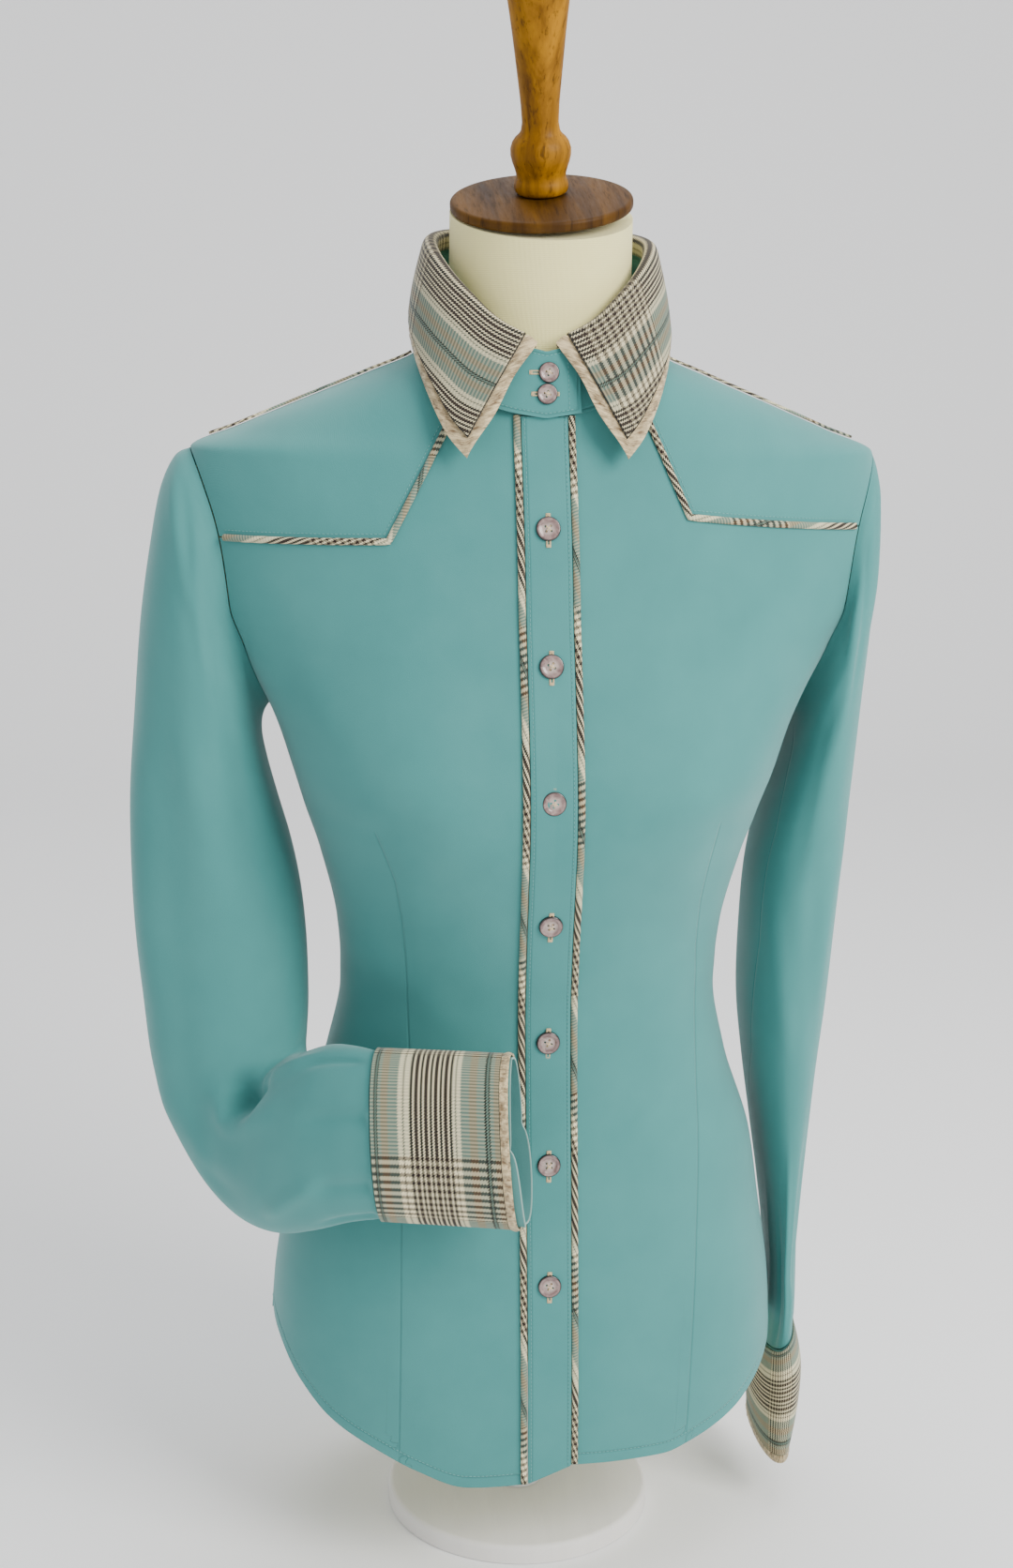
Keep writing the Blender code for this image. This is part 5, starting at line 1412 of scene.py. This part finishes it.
def ring_outward(grid):
    """Which way a tube's cloth faces at each of its points."""
    round_it = np.roll(grid, -1, axis=1) - np.roll(grid, 1, axis=1)
    down_it = np.gradient(grid, axis=0)
    normal = np.cross(round_it, down_it)
    normal /= np.maximum(np.linalg.norm(normal, axis=-1, keepdims=True), 1e-9)
    middle = grid.mean(axis=1, keepdims=True)
    return normal * np.sign(np.sum(normal * (grid - middle), axis=-1, keepdims=True))


def wrapped(grid):
    return np.concatenate([grid, grid[:, :1]], 1)


# Folds on sleeves: turn is 0 outside, 0.25 in front, 0.5 inside; place runs from armhole to cuff.
BENT_FOLDS = table(
    Fold, (0.15, 0.16, 0.19, 0.8, 0.013, -0.0016), (0.05, 0.06, 0.235, 0.165, 0.008, 0.0013),
    (0.15, 0.045, 0.272, 0.205, 0.0075, 0.0012), (0.11, 0.06, 0.255, 0.185, 0.009, -0.001),
    (0.3, 0.12, 0.33, 0.36, 0.011, -0.002), (0.2, 0.25, 0.3, 0.48, 0.014, 0.0018),
    (0.05, 0.3, 0.12, 0.52, 0.015, 0.0016), (0.28, 0.59, 0.4, 0.8, 0.008, -0.006),
    (0.3, 0.64, 0.34, 0.78, 0.009, -0.005), (0.235, 0.59, 0.33, 0.85, 0.008, 0.0028),
    (0.36, 0.69, 0.44, 0.9, 0.006, 0.003), (0.13, 0.83, 0.2, 0.93, 0.006, 0.002),
    (0.06, 0.56, 0.16, 0.72, 0.013, 0.002), (0.1, 0.6, 0.17, 0.8, 0.009, -0.0016),
    (0.41, 0.85, 0.44, 0.99, 0.0045, -0.0022), (0.3, 0.88, 0.31, 1.02, 0.0045, -0.0016),
    (0.18, 0.9, 0.175, 1.02, 0.0045, -0.0014), (0.08, 0.9, 0.085, 1.02, 0.0045, -0.0014),
    (0.64, 0.56, 0.7, 0.76, 0.012, -0.003), (0.8, 0.1, 0.72, 0.42, 0.012, -0.0022),
    (0.86, 0.08, 0.84, 0.36, 0.011, 0.002), (0.72, 0.86, 0.73, 1.02, 0.0045, -0.002),
    (0.88, 0.88, 0.87, 1.02, 0.0045, -0.0018),
)
HANGING_FOLDS = table(
    Fold, (0.06, 0.04, 0.15, 0.26, 0.007, 0.0022), (0.18, 0.05, 0.21, 0.3, 0.008, -0.0018),
    (0.25, 0.08, 0.24, 0.36, 0.008, 0.0018), (0.33, 0.2, 0.3, 0.5, 0.01, -0.0016),
    (0.12, 0.42, 0.2, 0.62, 0.012, 0.002), (0.25, 0.45, 0.16, 0.66, 0.011, -0.002),
    (0.38, 0.48, 0.27, 0.64, 0.01, 0.0022), (0.14, 0.7, 0.2, 0.9, 0.008, -0.002),
    (0.27, 0.72, 0.29, 0.98, 0.006, 0.0022), (0.35, 0.78, 0.36, 1.02, 0.005, -0.0022),
    (0.42, 0.76, 0.43, 1.02, 0.0055, 0.0018), (0.08, 0.82, 0.09, 1.02, 0.005, 0.0018),
    (0.6, 0.42, 0.68, 0.64, 0.012, -0.0026), (0.85, 0.08, 0.8, 0.38, 0.011, 0.002),
    (0.72, 0.78, 0.72, 1.02, 0.006, -0.0022), (0.9, 0.76, 0.9, 1.02, 0.006, -0.0018),
)
SLEEVE_SEAM = [(0.475, 0.180), (0.440, 0.300), (0.404, 0.400), (0.400, 0.540), (0.430, 0.646), (0.500, 0.710)]
SLEEVE_TURNS = 120
SLEEVE_ROUND = 0.30

for name, sections, folds, long, rows, area, steep in (
    ("sleeve_right", BENT_SLEEVE, BENT_FOLDS, 0.455, 210, 0.130, 1.4),
    ("sleeve_left", HANGING_SLEEVE, HANGING_FOLDS, 0.501, 190, 0.130, 0.8),
):
    grid = sleeve_grid(sections, rows, SLEEVE_TURNS)
    turn, place = np.meshgrid(np.arange(SLEEVE_TURNS) / SLEEVE_TURNS, np.linspace(0, 1, rows))
    u, v = turn * SLEEVE_ROUND, place * long
    sized = [Fold(fold.u1 * SLEEVE_ROUND, fold.v1 * long, fold.u2 * SLEEVE_ROUND, fold.v2 * long, fold.width,
                  fold.rise * steep) for fold in folds]
    rise = fold_rise(u, v, sized)
    rise *= np.clip(place / 0.03, 0, 1) * np.clip((1 - place) / 0.012, 0.0, 1)
    grid = grid + ring_outward(grid) * rise[..., None]
    seam = None
    if name == "sleeve_left":
        seam_points = [(turned * SLEEVE_ROUND, down * long) for turned, down in SLEEVE_SEAM]
        seam = tuple(map(wrapped, to_line(u, v, seam_points)))
    uv = pairs(np.linspace(0, 0.33, SLEEVE_TURNS + 1), np.linspace(0, long, rows)[:, None])
    cut_cloth(name, wrapped(grid), teal, "teal_crepe",
              uv=uv, to_seam=seam, turned=name == "sleeve_right", closed=True)


# Cuffs: plaid with its stripes round the wrist, a crinkled tan band at the end, and a teal lining whose
# rounded pale-edged ends stand out past the band.
cuff_lining, tree, shader = new_material("lining_crepe", from_screen(78, 138, 135), 0.7)
weave = crepe_weave(tree)
pale = attribute(tree, "to_seam").mapped(1.3 * MM, 0.7 * MM) * 0.55
# The lining's teal is painted a little darker, as shade inside the cuff.
colour = weave.blend(from_screen(66, 126, 124), from_screen(90, 150, 146))
colour = pale.blend(colour, from_screen(186, 212, 200))
give_look(shader, colour, bumped(tree, weave.output("Height"), 0.3, 0.3 * MM))

CUFF_TURNS = 120
CUFF_ROUND = 0.250
Lobe = namedtuple("Lobe", "middle half reach")
LOBES = {
    "right": (Lobe(0.38, 0.12, 1.0 * MM), Lobe(0.13, 0.125, 4.5 * MM), Lobe(0.62, 0.12, 1.0 * MM),
              Lobe(0.87, 0.13, 5.0 * MM)),
    "left": (Lobe(0.86, 0.10, 4.5 * MM), Lobe(0.64, 0.10, 4.5 * MM)),
}
for side, name, sections in ((-1, "right", BENT_CUFF), (1, "left", HANGING_CUFF)):
    length = np.linalg.norm(
        np.subtract(sections[-1][:3], sections[0][:3]) + np.subtract(sections[-1][3:6], sections[0][3:6])
    ) / 2
    band = CUFF_BAND / length
    gap = SEAM_HALF_GAP / length
    turn = np.linspace(0, 1, CUFF_TURNS + 1)

    places = np.linspace(0, 1 - band - gap, 50)
    grid = wrapped(tube(sections, places, CUFF_TURNS, grow=CUFF_LIFT))
    round_it = ((0.242 - turn) if side < 0 else (turn - 0.22)) * CUFF_ROUND
    uv = pairs(places[:, None] * length * 0.90 - 3 * MM, round_it)
    cut_cloth("cuff_" + name, grid, plaid, "plaid_shirting",
              uv=uv, turned=side < 0, closed=True)

    places = np.linspace(1 - band + gap, 1.0, 9)
    grid = tube(sections, places, CUFF_TURNS, grow=CUFF_LIFT)
    puff = np.sin((places - places[0]) / (places[-1] - places[0]) * math.pi) * 0.5 * MM
    crinkle = 0.25 * MM * np.sin(np.arange(CUFF_TURNS) * 2.1) * np.sin(np.arange(CUFF_TURNS) * 0.9)
    grid = grid + ring_outward(grid) * (puff[:, None] * (1 + crinkle[None, :] / (0.4 * MM)))[..., None]
    uv = pairs(turn * CUFF_ROUND, places[:, None] * length)
    cut_cloth("cuff_band_" + name, wrapped(grid), tan, "tan_jacquard",
              uv=uv, turned=side < 0, closed=True)

    places = np.concatenate([np.linspace(0, 0.9, 16), np.linspace(0.92, 1.0, 12)])
    grid = tube(sections, places, CUFF_TURNS, grow=CUFF_LIFT - CLOTH - 2 * LAY)
    way = unit(grid[-1] - grid[-3])
    at = np.arange(CUFF_TURNS) / CUFF_TURNS
    reach = np.zeros(CUFF_TURNS)
    for lobe in LOBES[name]:
        off = np.abs(at - lobe.middle) / lobe.half
        reach = np.maximum(reach, lobe.reach * np.clip(1 - off**2.6, 0, 1) ** 0.45)
    past = np.clip((places - 0.9) / 0.1, 0, 1)[:, None, None]
    grid = grid + way[None] * reach[None, :, None] * past
    uv = pairs(turn * CUFF_ROUND, places[:, None] * length)
    from_end = np.repeat((1 - past[..., 0]) * 0.015, CUFF_TURNS + 1, 1)
    cut_cloth("cuff_lining_" + name, wrapped(grid), cuff_lining, "teal_crepe",
              uv=uv, to_seam=(from_end, 1.0), turned=side < 0,
              closed=True)

    lap = CUFF_TURNS * 3 // 4
    rings = tube(sections, [0.50, 0.55], CUFF_TURNS, grow=CUFF_LIFT)
    normal = unit(np.cross(rings[1, lap] - rings[0, lap], rings[0, lap + 1] - rings[0, lap - 1]))
    normal *= np.sign(normal @ (rings[0, lap] - rings[0].mean(axis=0)))
    set_button("cuff_button_" + name, rings[0, lap] + normal * LAY, normal, BUTTON_RADIUS, 0.3)
threads("button_sewing", button_threads, beige_thread, "smoky_pearl", wide=0.7 * MM, high=0.35 * MM)


# The collar: a stand that laps at the front, and a fold collar in two layers. The tan under layer rolls out
# past the plaid one all round as a crinkled rim.
STAND_LAP, STAND_CORNER = 0.17, 0.06
around = np.concatenate([np.linspace(-0.16, 2, 150), np.linspace(2, 4 + STAND_LAP, 150)[1:]])
turned_in = np.where(around > 2, around - 4, around)
lift = LAY + CLOTH + (CLOTH + 3 * LAY) * eased_share((around - 3.2) / 0.5)
end = np.clip((around - (4 + STAND_LAP - STAND_CORNER)) / STAND_CORNER, 0, 1)
low = seam_z(NECK_SEAM, turned_in) - 1.2 * MM
high = seam_z(STAND_TOP, turned_in) - 0.010 * end**2
Fall = namedtuple("Fall", "around fold_z edge_x edge_y edge_z")
COLLAR = table(
    Fall, (0.06, 0.753, 0.045, -0.089, 0.69), (0.28, 0.7635, 0.056, -0.08, 0.703),
    (0.52, 0.7805, 0.066, -0.064, 0.723), (0.78, 0.797, 0.0735, -0.037, 0.743),
    (1, 0.806, 0.0755, -0.004, 0.755), (1.3, 0.811, 0.0705, 0.028, 0.762),
    (1.65, 0.8125, 0.045, 0.058, 0.764), (2, 0.8125, 0, 0.07, 0.764),
)
COLLAR_RIM = 8.5 * MM
COLLAR_ROLL = 3.2 * MM  # radius of the roll over the stand
COLLAR_SWELL = 1.5 * MM
CREST_SHARE = 0.75  # how far up the collar's rows the fold is
PLAID_COLLAR_LONG = 0.282


def grid_outward(grid):
    return unit(np.cross(np.gradient(grid, axis=1), np.gradient(grid, axis=0)))


def towards_opening(grid):
    """The collar's front sits over the opening, a little to the wearer's right of the neck's middle."""
    to_front = np.clip(-grid[..., 1:2] / 0.08, 0, 1)
    return grid + to_front * (float(opening_x(COLLAR[0].edge_z)), 0, 0)


stand = np.stack([
    towards_opening(on_shirt(turned_in, low + (high - low) * share, lift)) for share in np.linspace(0, 1, 16)
])
size = metres_of(stand)
inside = np.minimum(size[..., 1], size[-1:, :, 1] - size[..., 1])
inside = np.minimum(inside, np.minimum(size[..., 0], size[:, -1:, 0] - size[..., 0]))
cut_cloth("collar_stand", stand, teal, "teal_crepe",
          uv=size, to_seam=(inside - 1.9 * MM, 1.0))
faces_out = grid_outward(stand)
stitches = []
last = stand.shape[1] - 1
for row, start, stop in ((1, 220, last - 1), (14, 220, last - 3)):
    stitches += stitch_run(stand[row, start:stop], faces_out[row, start:stop])
stitches += stitch_run(stand[1:15, last - 4], faces_out[1:15, last - 4])
threads("stand_topstitching", stitches, teal_thread, "teal_crepe")


def collar_half(front, rim, columns=110, rows=54):
    """One layer of the fold collar, on +X: from its outer edge up over the fold to the stand's top."""
    around, fold_z, *edge = rounded(np.linspace(front, 1, columns), COLLAR).T
    seam = on_shirt(around, seam_z(STAND_TOP, around) + 2 * LAY, COLLAR_ROLL * 0.35)
    inner = on_shirt(around, fold_z - COLLAR_ROLL * 0.5, COLLAR_ROLL * 0.25)
    crest = on_shirt(around, fold_z, COLLAR_ROLL)
    fold = on_shirt(around, fold_z - COLLAR_ROLL * 0.7, COLLAR_ROLL * 1.75)
    drop = np.stack(edge, -1) - fold
    reach = np.linalg.norm(drop, axis=1)
    facing = unit(np.cross(np.gradient(fold, axis=0), -drop))
    control = [seam, inner, crest]
    for share in np.linspace(0, 1, 6):
        share = share * (1 - rim / reach)
        swell = COLLAR_SWELL * np.sin(share * math.pi)
        control.append(fold + drop * share[:, None] + facing * swell[:, None])
    control = np.stack(control[::-1]).reshape(len(control), -1)
    return rounded(np.linspace(0, 1, rows), control).reshape(rows, columns, 3)


for name, front, rim, layer, finish, slot in (
    ("collar_under", 0.0, 0.0, 0.0, tan, "tan_jacquard"),
    ("collar_top", 0.052, COLLAR_RIM, 2.0 * LAY + CLOTH, collar_plaid_painted_shade, "plaid_shirting"),
):
    grid = collar_half(front, rim)
    normal = grid_outward(grid)
    size = metres_of(grid)
    from_front, up = size[..., 0], size[..., 1]
    from_edge = np.minimum(up, from_front)
    if rim == 0:
        around_edge = from_front + up
        gathers = 1 + 0.35 * np.sin(around_edge * 560) + 0.25 * np.sin(around_edge * 1330 + 1)
        rolled = np.sin(np.clip(from_edge / (9 * MM), 0, 1) * math.pi) * 0.9 * MM * gathers
        grid = grid + normal * rolled[..., None]
        near_front = np.clip(1 - from_front / (12 * MM), 0, 1)
        wave = 0.8 * MM * near_front * np.sin(up * 130 + 0.8)
        grid = grid + unit(np.gradient(grid, axis=1)) * wave[..., None]
        uv = there_and_back(pairs(around_edge + from_edge * 0.4, from_edge))
    else:
        crest = size[int(round(CREST_SHARE * (len(grid) - 1)))]
        along = crest[:, 0]
        along = np.append(along, 2 * along[-1] - along[-2::-1])
        along = along * PLAID_COLLAR_LONG / along[-1] - 5 * MM
        uv = pairs(there_and_back(crest[:, 1] - up) + 21.0 * MM, along)
    both = there_and_back(grid + normal * layer)
    both[:, grid.shape[1]:, 0] *= -1
    cut_cloth(name, towards_opening(both), finish, slot,
              uv=uv, to_seam=(there_and_back(from_edge), 1.0))
